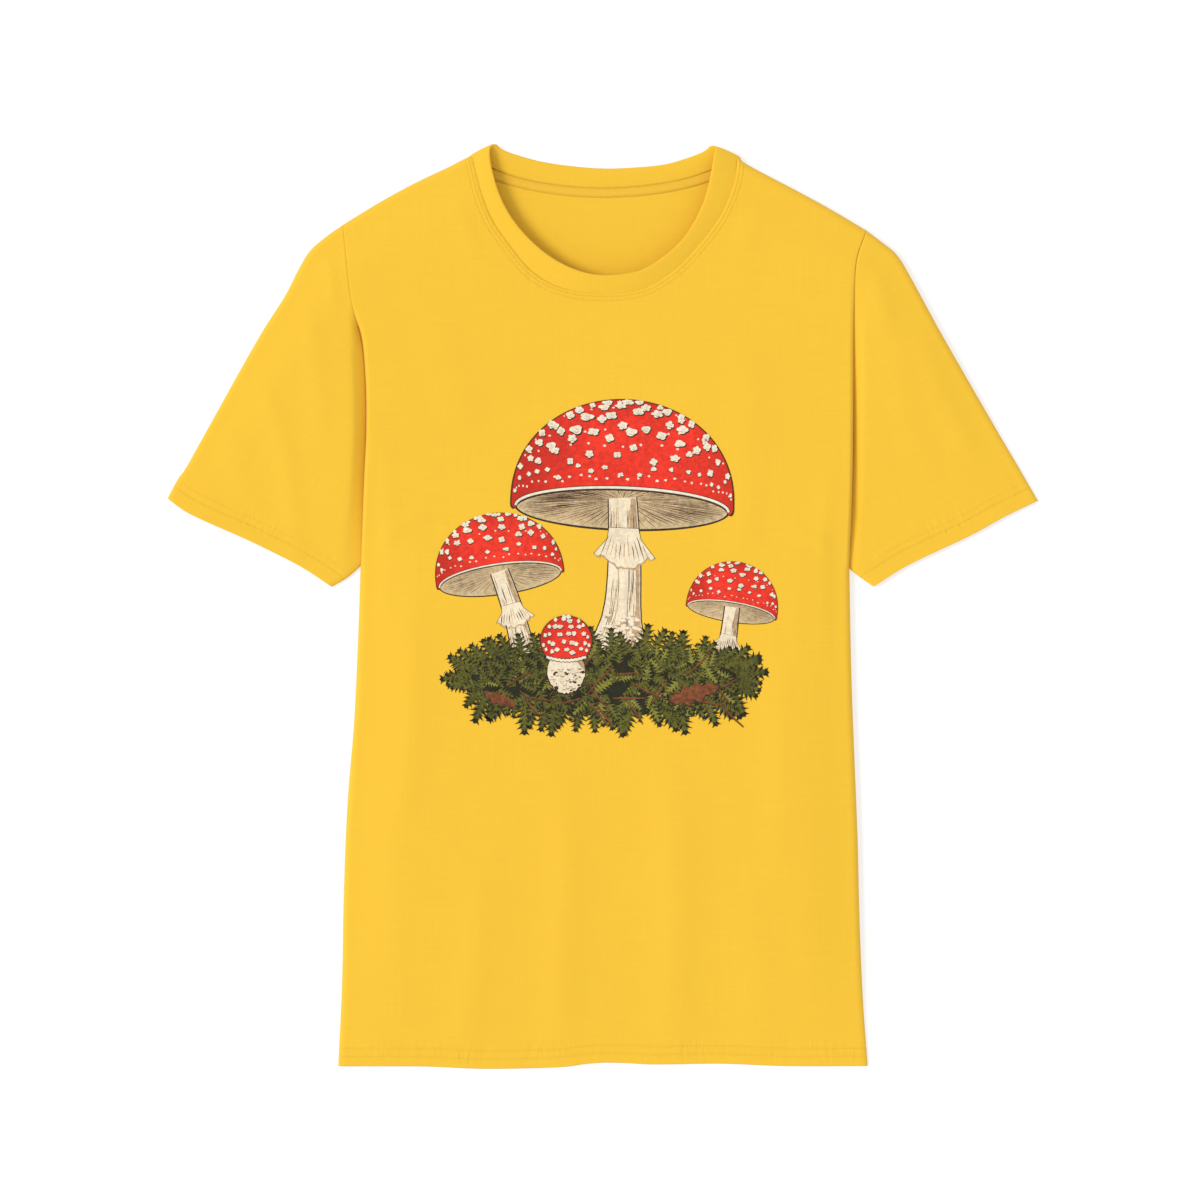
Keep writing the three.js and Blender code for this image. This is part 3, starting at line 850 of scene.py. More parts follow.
class Sleeve:
    """Heights of one sleeve's outer face, and its plan."""

    def __init__(self, side, sizes):
        self.side, self.sizes, self.body = side, sizes, Body(sizes)
        self.armhole = outline(ARMHOLE, side, order=-1)
        self.cuff, self.fold = outline(CUFF, side), outline(SLEEVE_TOP, side)
        self.underarm = outline(UNDERARM, side)
        self.plan = patch(self.armhole, self.cuff, self.fold, self.underarm)
        start, end = self.cuff(np.array([0.0, 1.0]))
        self.across = (end - start) / np.linalg.norm(end - start)
        self.grain = np.array([-self.across[1], self.across[0]]) * side

    def level(self, points):
        """Height of the sleeve's flat part, lower at the cuff."""
        full, cuff_loft, fall = in_mm(self.sizes, "loft", "cuff_loft", "side_fall")
        rise = smooth(nearest(self.cuff, points, 100)[0], 0, CUFF_RISE)
        folds = smooth(nearest(self.fold, points, 200)[0], 0, FOLD_REACH)
        return (cuff_loft + (full - SLEEVE_DROP - cuff_loft) * rise
                - 0.8 * fall * (1 - folds) * (0.3 + 0.7 * rise))

    def upper(self, points):
        """Height of the upper layer's outer face."""
        y, armhole = points[:, 1], nearest(self.armhole, points)[0]
        if self.side < 0:  # the right sleeve leaves its seam steeply below the shoulder
            share = armhole / (2.5 + 7.0 * smooth(-y, -228, -190) + 3.6 * smooth(-y, -110, -30))
        else:
            share = armhole / (7 + 9 * smooth(y, 200, 262))
        rise = 0.5 * (1 + share - np.sqrt((1 - share) ** 2 + 0.03)) + 0.007
        seam = self.body.seam(points)
        top = seam + (self.level(points) - seam) * rise
        top = top + ridges(points, SLEEVE_FOLDS) * smooth(armhole, 4, 16)
        return self.edge(points, top) + (top - self.edge(points, top)) * (1 - self.turn(points))

    def edge(self, points, top):
        """Height of the folds along the top of the arm and the underarm."""
        return np.minimum(self.level(points) * 0.5, top * 0.6)

    def turn(self, points):
        """How much of the folds' rounding is left, from 1 at a fold."""
        folds = np.minimum(nearest(self.fold, points, 300)[0], nearest(self.underarm, points, 100)[0])
        return round_off(folds, FOLD_ROUND)

    def lower(self, points):
        """Height of the lower layer's outer face."""
        seam, share = self.body.seam(points), np.clip(nearest(self.armhole, points)[0] / 14, 0, 1)
        crown = seam + (self.level(points) - seam) * np.sin(share * math.pi / 2)
        return FLOOR_GAP + (self.edge(points, crown) - FLOOR_GAP) * self.turn(points)


def build_sleeve(side, sizes, material):
    sleeve = Sleeve(side, sizes)
    around = np.linspace(0, 1, 121)
    along = spread((0, 0.006), (0.1, 0.013), (0.88, 0.0065), (0.985, 0.004), 1.0)

    def place(u, v):
        """u goes round the arm, over the upper layer and back under it, and v down to the hem."""
        turn = 1 - np.abs(1 - 2 * u)
        flat = sleeve.plan(turn - 0.75 * np.sin(math.tau * turn) / math.tau, v)
        z = np.where(u <= 0.5, sleeve.upper(flat), sleeve.lower(flat))
        tucked = (v == 0) * np.clip(8 * turn * (1 - turn), 0, 1)
        return np.column_stack([flat[:, 0] - side * TUCK_IN * tucked, flat[:, 1],
                                z - TUCK_UNDER * tucked * (u <= 0.5)])

    def maps(u, v, points):
        cloth = np.stack([points[:, :2] @ sleeve.across, points[:, :2] @ sleeve.grain], -1) * MM
        return {"Cloth": cloth, "Seam": seam_map((*nearest(sleeve.cuff, points), CUFF_ROWS))}

    bm = grid(around, along, place, maps)
    bmesh.ops.remove_doubles(bm, verts=bm.verts, dist=1e-6)
    if side < 0:
        bmesh.ops.reverse_faces(bm, faces=bm.faces)
    name = "sleeve_cloth_" + SIDES[side]
    return thicken(finish_piece(name, bm, material, ["sleeve_" + SIDES[side]]), sizes.cloth)


# ---- collar and neck tape ---------------------------------------------------------------------------

FRONT_Z = LOFT - 3.1    # height of the collar's seam in front
FRONT_LEVEL = 7         # the seam is in front, and tucked under the panel, where it is above this
COLLAR_TUCK = 2.3       # depth of the band's middle below the front panel's outer face
COLLAR_UNDER = 2.0      # how far the front seam goes under the panel
RIB_LAYER = 0.42        # thickness of one layer of the folded rib, of the whole
RIB_SQUARE = 0.42       # how square the band's section is: 1 is an oval, and lower is squarer
RIB_WIDTH = 17          # width of the band along its surface
COLLAR = {  # pairs of points across the band, from the front middle over the neck point to the back middle
    1: [((0, 239.6), (-1, 254.8)), ((18.4, 240.8), (16.5, 256)), ((36, 245.6), (31, 260)), ((56, 259), (46.6, 270)),
        ((72.2, 276), (61.2, 283.8)), ((87.6, 296.4), (72, 301.2)), ((96.6, 314.6), (78.4, 317.4)),
        ((101.6, 330.8), (82.2, 334.2)), ((103, 342), (84.4, 347.4)), ((103.2, 346.6), (85.2, 353.9)),
        ((101.8, 346.6), (81.6, 354.9)), ((97.6, 343.6), (77.4, 351.6)), ((86, 338.2), (67, 347.2)),
        ((60.4, 329.8), (47, 341.4)), ((29.8, 324.9), (23, 338.9)), ((0, 323.2), (0, 338.2))],
    -1: [((0, 239.6), (-1, 254.8)), ((20.2, 241.2), (16.6, 257.4)), ((40.4, 247), (32.6, 264)),
         ((57.8, 258.8), (47.6, 274)), ((73.6, 278), (61.8, 287.6)), ((86, 296.2), (73.2, 302.8)),
         ((93.8, 314.6), (80.8, 318.6)), ((98.8, 334), (86, 336.4)), ((101.4, 344), (87.8, 349)),
         ((102.4, 347.4), (86.4, 355.2)), ((100.8, 347.6), (82.8, 356.3)), ((97.4, 344.4), (78.6, 352.8)),
         ((86, 338.2), (68, 348.8)), ((60.4, 329.8), (48, 343.4)), ((29.8, 324.9), (23, 339.8)),
         ((0, 323.2), (0, 338.2))],
}
COLLAR_HEIGHTS = list(zip(  # the same pairs' heights: the seam's, then the folded edge's
    [FRONT_Z] * 7 + [FRONT_Z - 0.3, FRONT_Z - 1, 7.2, 4.2, 2.2, 1.6, 1.4, 1.35, 1.35],
    [14.6, 14.5, 14.2, 13.8, 13.3, 12.9, 12.5, 12.0, 11.0, 8.6, 5.6, 3.2, 2.5, 2.3, 2.2, 2.2]))


def collar_points(side, which, body):
    """One side's points of the band's seam (0) or its folded edge (1). The front seam is tucked under."""
    found = []
    for plan, heights in zip(COLLAR[side], COLLAR_HEIGHTS):
        seam, edge = (np.array([*flat, height], float) for flat, height in zip(plan, heights))
        out = (seam - edge)[:2] / np.linalg.norm((seam - edge)[:2])
        if seam[2] > FRONT_LEVEL:
            seam[:2] += out * COLLAR_UNDER
            drop = max(0.0, seam[2] - body.height(seam[None] * [side, 1, 1])[0] + COLLAR_TUCK)
            seam[2] -= drop
            edge[2] -= 0.5 * drop
        found.append((seam, edge)[which] * [side, 1, 1])
    return found


def build_collar(sizes, material):
    body = Body(sizes)
    seam, edge = (loop_curve(collar_points(1, which, body) + collar_points(-1, which, body)[-2:0:-1])
                  for which in (0, 1))
    half, step = sizes.rib / MM / 2, 1e-3
    marks = np.linspace(0, 1, 600)
    line = seam(marks * 0.99999)
    runs = np.concatenate([[0], np.cumsum(np.linalg.norm(np.diff(line, axis=0), axis=1))])

    def place(u, v):
        """u goes round the neck, and v round the band's section."""
        start, across = seam(u), edge(u) - seam(u)
        along = seam(u + step) - seam(u - step) + edge(u + step) - edge(u - step)
        normal = np.cross(along, across)
        normal /= np.linalg.norm(normal, axis=1)[:, None]
        sine, share = np.sin(v * math.tau), 0.5 - 0.5 * np.cos(v * math.tau)
        thick = half * (1 + share * (1 - share)) * np.sign(sine) * np.abs(sine) ** RIB_SQUARE
        return start + across * share[:, None] + normal * thick[:, None]

    def maps(u, v, points):
        share = 0.5 - 0.5 * np.cos(v * math.tau)
        return {"Cloth": np.stack([np.interp(u, marks, runs), share * RIB_WIDTH], -1) * MM}

    bm = grid(np.linspace(0, 1, 289), np.linspace(0, 1, 23), place, maps)
    bmesh.ops.remove_doubles(bm, verts=bm.verts, dist=1e-6)
    bmesh.ops.recalc_face_normals(bm, faces=bm.faces)
    return thicken(finish_piece("collar_band", bm, material, ["collar_rib"]), sizes.rib * RIB_LAYER)


def ribbon(name, line, width, thickness, material, replaces, steps):
    """A narrow band along a line of 3D points in millimetres, lying flat."""
    path = polyline(np.array(line, float))

    def place(u, v):
        side = left_of(path(np.clip(u + 0.004, 0, 1)) - path(np.clip(u - 0.004, 0, 1)))
        return path(u) + np.column_stack([side * ((v - 0.5) * width)[:, None], 0 * u])

    def maps(u, v, points):
        return {"Cloth": np.stack([u * path.length, (v - 0.5) * width], -1) * MM}

    bm = grid(np.linspace(0, 1, steps + 1), np.linspace(0, 1, 4), place, maps)
    return thicken(finish_piece(name, bm, material, replaces), thickness * MM)


TAPE_WIDTH, TAPE_THICKNESS = 8.0, 0.3
TAPE_INSET, TAPE_LIFT = 4.4, 0.6    # from the back neck's edge to the tape's middle, and above the cloth
TAPE_ROWS = {"upper": 2.6, "lower": 7.4}


def back_neck_line(end, steps):
    """Points along the back neck seam, up to a share of it on both sides."""
    right, left = (outline(BACK_NECK, side)(np.linspace(0, end, steps)) for side in (-1, 1))
    return np.vstack([right[::-1], left[1:]])


def build_tape(sizes, material):
    flat = back_neck_line(0.93, 34) - [0, TAPE_INSET]
    line = np.column_stack([flat, np.full(len(flat), sizes.cloth / MM + TAPE_LIFT)])
    return ribbon("neck_tape_band", line, TAPE_WIDTH, TAPE_THICKNESS, material, ["neck_tape"], 90)


# ---- seam allowances inside the shirt ---------------------------------------------------------------

ALLOWANCE = 5.0                     # width of an overlocked seam allowance
SEAM_INSET, ARMHOLE_INSET = 4.2, 5.0


def inside_line(points, gap):
    """A line moved towards the garment's middle by a gap, in the plan."""
    left = left_of(np.gradient(points, axis=0))
    return points + left * np.where(left[:, :1] * points[:, :1] > 0, -1, 1) * gap


def build_allowances(sizes, material):
    body, cloth = Body(sizes), sizes.cloth / MM
    for side, name in SIDES.items():
        for table, part, low in ((SIDE, "side_seam", 0.01), (SHOULDER, "shoulder_seam", 0.0012)):
            flat = inside_line(outline(table, side)(np.linspace(low, 0.97, 60)), SEAM_INSET)
            line = np.column_stack([flat, 0.5 * body.level(flat)[0]])
            ribbon(f"{part}_overlock_{name}", line, ALLOWANCE, 0.6, material, [f"{part}_{name}"], 80)
        arm = outline(ARMHOLE, side)(0.1 + 0.84 * np.linspace(0.012, 0.98, 60))
        arm = inside_line(arm, ARMHOLE_INSET)
        front = np.column_stack([arm, np.minimum(body.seam(arm) - cloth - 0.7, 8.6)])
        rear = np.column_stack([arm, np.full(len(arm), cloth + 0.9)])
        middle = (front[-1] + rear[-1]) / 2 + [0, 2.0, 0]
        line = np.vstack([front, middle[None], rear[::-1]])
        ribbon("armhole_overlock_" + name, line, ALLOWANCE, 0.5, material, ["armhole_seam_" + name], 160)


# ---- stitches ---------------------------------------------------------------------------------------

THREAD_FLATNESS = 0.55              # height of a stitch, of its width
LOOPER_HEIGHT, LOOPER_LENGTH = 1.25, 6.2


def stitch_row(name, centres, forward, up, size, material, replaces=()):
    """One row of separate stitches. size is their length, width and height in millimetres."""
    bm = bmesh.new()
    layer = bm.loops.layers.uv.new("Cloth")
    bmesh.ops.create_uvsphere(bm, u_segments=6, v_segments=4, radius=0.5)
    bmesh.ops.rotate(bm, verts=bm.verts, matrix=Matrix.Rotation(math.pi / 2, 3, "Y"))
    for vert in bm.verts:
        vert.co = vert.co * Vector(size)
    for face in bm.faces:
        for loop in face.loops:
            co = loop.vert.co
            loop[layer].uv = (co.x * MM, math.atan2(co.z, co.y) / math.tau)
    first = bm.verts[:] + bm.edges[:] + bm.faces[:]
    pattern = bm.verts[:]
    for centre, along, normal in zip(centres, forward, up):
        copy = bmesh.ops.duplicate(bm, geom=first)["geom"]
        x = Vector(along).normalized()
        z = (Vector(normal) - x * x.dot(Vector(normal))).normalized()
        y = z.cross(x)
        for vert in (item for item in copy if isinstance(item, bmesh.types.BMVert)):
            co = vert.co
            vert.co = (Vector(centre) + x * co.x + y * co.y + z * co.z) * MM
    bmesh.ops.delete(bm, geom=pattern, context="VERTS")
    return finish_piece(name, bm, material, replaces)


def row_on(surface, path, sizes, low=0.0, high=1.0):
    """Stitch centres, directions and normals along a plan line on a surface of heights."""
    count = max(2, int(path.length * (high - low) / (sizes.pitch / MM)))
    share = low + (high - low) * (np.arange(count) + 0.5) / count
    flat, reach = path(share), 0.8
    ahead = path(np.clip(share + reach / path.length, 0, 1))
    behind = path(np.clip(share - reach / path.length, 0, 1))
    forward = np.column_stack([ahead - behind, surface(ahead) - surface(behind)])
    side = left_of(forward)
    slope = (surface(flat + side * reach) - surface(flat - side * reach)) / (2 * reach)
    return np.column_stack([flat, surface(flat)]), forward, np.cross(forward, np.column_stack([side, slope]))


def level_surface(height):
    """A surface that is level, as row_on takes it."""
    return lambda points: np.full(len(points), height)


def build_stitches(sizes, material):
    body, width = Body(sizes), sizes.thread / MM
    size = (sizes.stitch / MM, width, width * THREAD_FLATNESS)
    hem, neck = whole(HEM), whole(FRONT_NECK)
    for part, gap in zip(("lower", "upper"), HEM_ROWS):
        row = row_on(body.height, offset_line(hem, gap), sizes, 0.006, 0.994)
        stitch_row("hem_stitches_" + part, *row, size, material, ["hem_thread_" + part])
    for part, gap in zip(("inner", "outer"), COLLAR_ROWS):
        row = row_on(body.height, offset_line(neck, -gap), sizes, 0.018, 0.982)
        stitch_row("collar_stitches_" + part, *row, size, material, ["collar_thread_" + part])
    for side, name in SIDES.items():
        sleeve = Sleeve(side, sizes)
        for part, gap in zip(("lower", "upper"), CUFF_ROWS):
            row = row_on(sleeve.upper, offset_line(sleeve.cuff, -side * gap), sizes, 0.02, 0.975)
            stitch_row(f"cuff_stitches_{part}_{name}", *row, size, material, [f"cuff_thread_{part}_{name}"])
    centres, forward, up = row_on(level_surface(LOOPER_HEIGHT), offset_line(hem, sum(HEM_ROWS) / 2), sizes, 0.02, 0.98)
    slant = np.where(np.arange(len(forward)) % 2 == 0, 1.0, -1.0)[:, None] * np.array([[0, 1.6, 0]])
    zigzag = forward / np.linalg.norm(forward, axis=1)[:, None] + slant
    stitch_row("hem_looper_stitches", centres, zigzag, np.tile([0, 0, 1.0], (len(centres), 1)),
               (LOOPER_LENGTH, *size[1:]), material, ["hem_looper_thread"])
    for part, gap in TAPE_ROWS.items():
        row = row_on(level_surface(sizes.cloth / MM + 0.56), polyline(back_neck_line(0.9, 60) - [0, gap]), sizes)
        stitch_row("neck_tape_stitches_" + part, *row, size, material)


# ---- chest print: a clump of toadstools on moss, drawn as shapes of ink ------------------------------

INKS = ("line", "cap", "wart", "stalk", "gill", "shade", "moss", "leaf", "tip", "twig")
INK_LIFT = 0.05   # height of the lowest ink above the cloth, in millimetres
INK_STEP = 0.017  # height from one level of ink to the next
DRAPE = 4.0       # spacing of the cuts that let the ink follow the cloth


class Drawing:
    """Outlines of ink, by colour. Each has a level above the cloth, and a cap has its own place."""

    def __init__(self, seed):
        self.shapes = {ink: [] for ink in INKS}
        self.random = random.Random(seed)

    def draw(self, ink, shape, level, own=None):
        """Adds an outline, turned so that it runs anticlockwise."""
        shape = np.asarray(shape, float)
        x, y = shape.T
        own = np.zeros((len(shape), 2)) if own is None else own
        order = 1 if (x * np.roll(y, -1) - y * np.roll(x, -1)).sum() > 0 else -1
        self.shapes[ink].append((shape[::order], level, own[::order]))

    def crumb(self, ink, centre, width, height, lobes, level, depth=0.4):
        """Adds a small crumbly patch, turned at random."""
        self.draw(ink, self.blob(centre, width, height, lobes, self.vary(0, 6), depth), level)

    def blob(self, centre, width, height, lobes, turn, depth=0.4):
        """The outline of a small crumbly patch with rounded lobes."""
        angle = np.linspace(0, math.tau, lobes * 6, endpoint=False)
        bulge = np.abs(np.cos(lobes / 2 * (angle + turn))) ** 0.6
        reach = (1 - depth + depth * bulge) * np.array([1 + self.vary(-0.04, 0.04) for _ in angle])
        return np.asarray(centre) + np.column_stack([width * reach * np.cos(angle), height * reach * np.sin(angle)])

    def vary(self, low, high):
        return self.random.uniform(low, high)

    def any_of(self, *choices):
        return self.random.choice(choices)


def turned(points, origin, angle=0.0, size=1.0):
    """Points turned by an angle in degrees, sized, and moved to an origin."""
    c, s = math.cos(math.radians(angle)), math.sin(math.radians(angle))
    x, y = (np.asarray(points, float) * size).T
    return np.column_stack([x * c - y * s, x * s + y * c]) + origin


def ring(samples, turn=math.tau, closed=False):
    """Angles round a circle, or round part of it."""
    return np.linspace(0, turn, samples, endpoint=closed)


def oval(arc, width, height, drop=0.0):
    """Points on an oval at some angles, moved down by a drop."""
    return np.column_stack([width * np.cos(arc), height * np.sin(arc) - drop])


def sides_of(points, widths):
    """The closed outline of a band along points, with a width at each."""
    p = np.asarray(points, float)
    side = left_of(np.gradient(p, axis=0)) * (0.5 * np.broadcast_to(widths, len(p)))[:, None]
    return np.vstack([p - side, (p + side)[::-1]])


def stroke(points, width, tail=0.12):
    """The outline of a pen line that thins towards both ends."""
    share = np.linspace(0, 1, len(points))
    return sides_of(points, width * (tail + (1 - tail) * np.sin(math.pi * share ** 0.7)))


WART_CREASES = (  # a wart's creases as shares of its width and height, and each one's width
    ([(-0.5, -0.35), (0, -0.62), (0.55, -0.4)], (0, 0.22)),
    ([(-0.15, 0.35), (0.1, 0.05), (-0.05, -0.3)], (0.14, 0)),
    ([(0.25, 0.3), (0.4, 0.0), (0.3, -0.25)], (0.09, 0)),
)


def wart(art, centre, width, height, level):
    """A cream wart with a dark lower edge, and creases if it is big enough."""
    lobes, turn = art.any_of(3, 4, 5), art.vary(0, math.tau)
    around, middle, size = art.blob(centre, width, height, lobes, turn), np.array(centre), np.array([width, height])
    art.draw("line", middle + (around - middle) * 1.1 + [0.10 * width, -0.16 * height - 0.25], level)
    art.draw("wart", around, level + 1)
    if width > 2.2:
        for crease, pen in WART_CREASES:
            art.draw("shade", stroke(middle + np.array(crease) * size, (pen * size).sum()), level + 2)


def crown(art, rim, half, height, bow, tilt, warts, level):
    """A cap: red dome, cream rim and warts. bow is how far the rim curves, of the half width."""
    def put(points):
        return turned(points, rim, tilt, half)

    arc = ring(60, math.pi, closed=True)
    dome = np.column_stack([np.cos(arc), height * np.sin(arc) ** 0.92])
    under = oval(arc[::-1], 0.955, bow, 0.05)
    lip = np.array([(-1.0, -0.03), (-0.993, -0.058), (-0.978, -0.075), (-0.962, -0.072)])
    outer = np.vstack([dome, lip, under, lip[::-1] * [-1, 1]])
    rounder = lip * 1.014 - [0, 0.012]
    art.draw("line", put(np.vstack([dome * 1.014 + [0, -0.004], rounder, under - [0, 0.03],
                                    rounder[::-1] * [-1, 1]])), level)
    art.draw("cap", put(outer), level + 1, outer / [1, height])
    band = put(oval(arc, 0.962, bow, 0.052))
    art.draw("line", sides_of(band, 0.036 * half), level + 2)
    art.draw("wart", sides_of(band, 0.022 * half), level + 3)
    for row, count, reach in warts:
        tiny = reach < 0.02
        for i in range(count):
            across = math.radians(-84 + 168 * (i + 0.5) / count + art.vary(-4, 4) * 9 / count)
            up = math.radians(row + (art.vary(-1.5, 1.5) if tiny else art.vary(-4.5, 4.5)))
            centre = put([(math.sin(across) * math.cos(up) * 0.995,
                           height * math.sin(up) ** 0.95 + bow * math.cos(across) * math.cos(up) - 0.03)])[0]
            wide = reach * half * art.vary(0.8, 1.3) * max(0.5, math.cos(across) ** 0.6)
            tall = reach * half * art.vary(0.72, 0.9) * max(0.6, math.cos(up * 0.8))
            if tiny:
                art.crumb("wart", centre, wide, tall, 3, level + 5)
            else:
                wart(art, centre, wide, tall, level + 4)


def gills(art, rim, half, bow, tilt, count, level):
    """The underside of a cap, with gills fanning out from the stalk."""
    arc = ring(90)
    art.draw("line", turned(oval(arc, 0.975, bow + 0.012, 0.052), rim, tilt, half), level)
    art.draw("gill", turned(oval(arc, 0.955, bow - 0.006, 0.05), rim, tilt, half), level + 1)
    hub = np.array([0.0, 0.42 * bow - 0.05])
    for i in range(count):
        around = math.tau * (i + art.vary(0.2, 0.8)) / count
        end = np.array([0.94 * math.cos(around), (bow - 0.02) * math.sin(around) - 0.05])
        start = hub + (end - hub) * (art.vary(0.12, 0.3) if i % 2 else art.vary(0.4, 0.62))
        end = hub + (end - hub) * art.vary(0.9, 1.0)
        middle = (start + end) / 2 + [0.0, 0.03 * bow * math.copysign(1, math.sin(around))]
        line = turned([start, middle, end], rim, tilt, half)
        art.draw("shade" if i % 3 else "line", stroke(line, half * art.vary(0.005, 0.0095), 0.3), level + 2)


class Stem:
    """The middle line and widths of a stalk, from under the cap down to its swollen base."""

    def __init__(self, top, base, narrow, wide):
        top, self.drop = np.array(top, float), np.array(base, float) - np.array(top, float)
        self.share, self.length = np.linspace(0, 1, 26), np.linalg.norm(self.drop)
        self.aside = left_of(self.drop[None])[0]
        lean = 0.03 * self.length * np.sin(math.pi * self.share)
        self.line = top + self.drop * self.share[:, None] + self.aside * lean[:, None]
        swell = np.exp(-(((self.share - 0.9) / 0.17) ** 2))
        self.width = 2 * (narrow + (wide - narrow) * (0.34 * self.share + 0.66 * swell))

    def at(self, along, across):
        """A point at a share of the stalk's length and of its half width."""
        centre = np.array([np.interp(along, self.share, self.line[:, k]) for k in (0, 1)])
        return centre + self.aside * across * np.interp(along, self.share, self.width) / 2


def stalk(art, stem, wide, level):
    """A stalk with a shaded side, pen lines along it and a crumbly base."""
    edge = np.array([art.vary(-0.03, 0.03) * wide * (s > 0.6) for s in stem.share])
    art.draw("line", sides_of(stem.line, stem.width + 1.9 + edge), level)
    art.draw("stalk", sides_of(stem.line, stem.width + edge), level + 1)
    right = np.array([stem.at(s, 0.96) for s in stem.share])
    inner = np.array([stem.at(s, 0.62 - 0.18 * math.sin(9 * s)) for s in stem.share[::-1]])
    art.draw("shade", np.vstack([right, inner]), level + 2)
    for _ in range(int(wide * 3.4)):
        place, start = art.any_of(-1, 1) * art.vary(0.25, 0.96), art.vary(0.02, 0.8)
        reach = art.vary(0.06, 0.2)
        pen = [stem.at(min(0.98, start + reach * k / 4), place + art.vary(-0.02, 0.02)) for k in range(5)]
        art.draw(art.any_of("shade", "shade", "line"), stroke(pen, art.vary(0.35, 0.75)), level + 3)
    for _ in range(int(wide * 2.2)):
        place = stem.at(art.vary(0.66, 0.9), art.vary(-0.92, 0.92))
        size = art.vary(0.05, 0.11) * wide
        art.crumb("shade", place - [0, 0.5 * size], size * 1.2, size * 0.7, 4, level + 3)
        art.crumb("wart", place + [0, 0.2 * size], size, size * 0.55, 4, level + 4)
    for _ in range(int(wide * 3.0)):
        low = 1 - art.vary(0, 0.26) ** 1.2
        size = art.vary(0.5, 1.5)
        art.crumb("line", stem.at(low, art.vary(-0.95, 0.95)), size * 1.2, size, 5, level + 4, 0.5)


def skirt(art, stem, wide, high, low, flare, level):
    """A ragged skirt round a stalk, from high to low as shares of its length."""
    hem, third = np.linspace(-1, 1, 19), (high * 2 + low) / 3
    ragged = np.array([stem.at(low + 0.03 * math.cos(3 * h) + art.vary(-0.018, 0.018), flare * h) for h in hem])
    shoulders = [stem.at(third, 1.12), stem.at(high, 1.0), stem.at(high, -1.0), stem.at(third, -1.12)]
    cape = np.vstack([ragged, shoulders])
    middle = cape.mean(0)
    art.draw("line", middle + (cape - middle) * (1 + 0.9 / (wide + 8)) - [0, 0.3], level)
    lower = ragged + stem.drop / stem.length * np.array([art.vary(0.5, 2.0) for _ in hem])[:, None]
    art.draw("shade", np.vstack([lower, shoulders]), level + 1)
    art.draw("stalk", cape, level + 2)
    for h in np.linspace(-0.85, 0.85, 11):
        pen = [stem.at(high + (low - high) * k, h * (1 + (flare - 1) * k) + art.vary(-0.03, 0.03))
               for k in np.linspace(art.vary(0.15, 0.5), 0.96, 5)]
        art.draw(art.any_of("shade", "line"), stroke(pen, art.vary(0.4, 0.85)), level + 3)


def sprig(base, angle, size, fan, pairs):
    """The outline of a feathered sprig of moss, with leaflets in pairs along its stem."""
    edge = []
    for i in range(pairs):
        along = i / pairs
        reach = fan * (1 - along) ** 0.75 + 0.05
        edge += [(along, 0.03), (along + 0.17, reach * 0.62), (along + 0.25, reach), (along + 0.21, reach * 0.4)]
    edge.append((1.1, 0.0))
    return turned(edge + [(x, -y) for x, y in edge[-2::-1]], base, angle, size)


def shaded_sprig(art, ink, at, angle, size, fan, pairs, level):
    """A sprig with a darker, wider one under it."""
    art.draw("moss", sprig(at, angle, size * 1.14, 0.46, pairs), level)
    art.draw(ink, sprig(at + [0, 0.3], angle, size, fan, pairs), level + 1)


MOUND_X, MOUND_Y = 112, -54         # half width of the mound of moss, and the height of its middle
LEAF = np.array([(0, 0), (0.14, 0.10), (0.24, 0.07), (0.34, 0.22), (0.46, 0.13), (0.58, 0.24), (0.68, 0.12),
                 (0.82, 0.16), (1, 0.02), (0.84, -0.08), (0.70, -0.05), (0.60, -0.18), (0.46, -0.09),
                 (0.36, -0.2), (0.24, -0.08), (0.12, -0.1)])
LEAF_VEINS = (((0, 0), (0.95, 0.02)), ((0.25, 0), (0.36, 0.17)), ((0.45, 0), (0.58, 0.18)),
              ((0.3, 0), (0.38, -0.15)), ((0.5, 0), (0.6, -0.13)), ((0.65, 0.01), (0.8, 0.11)))


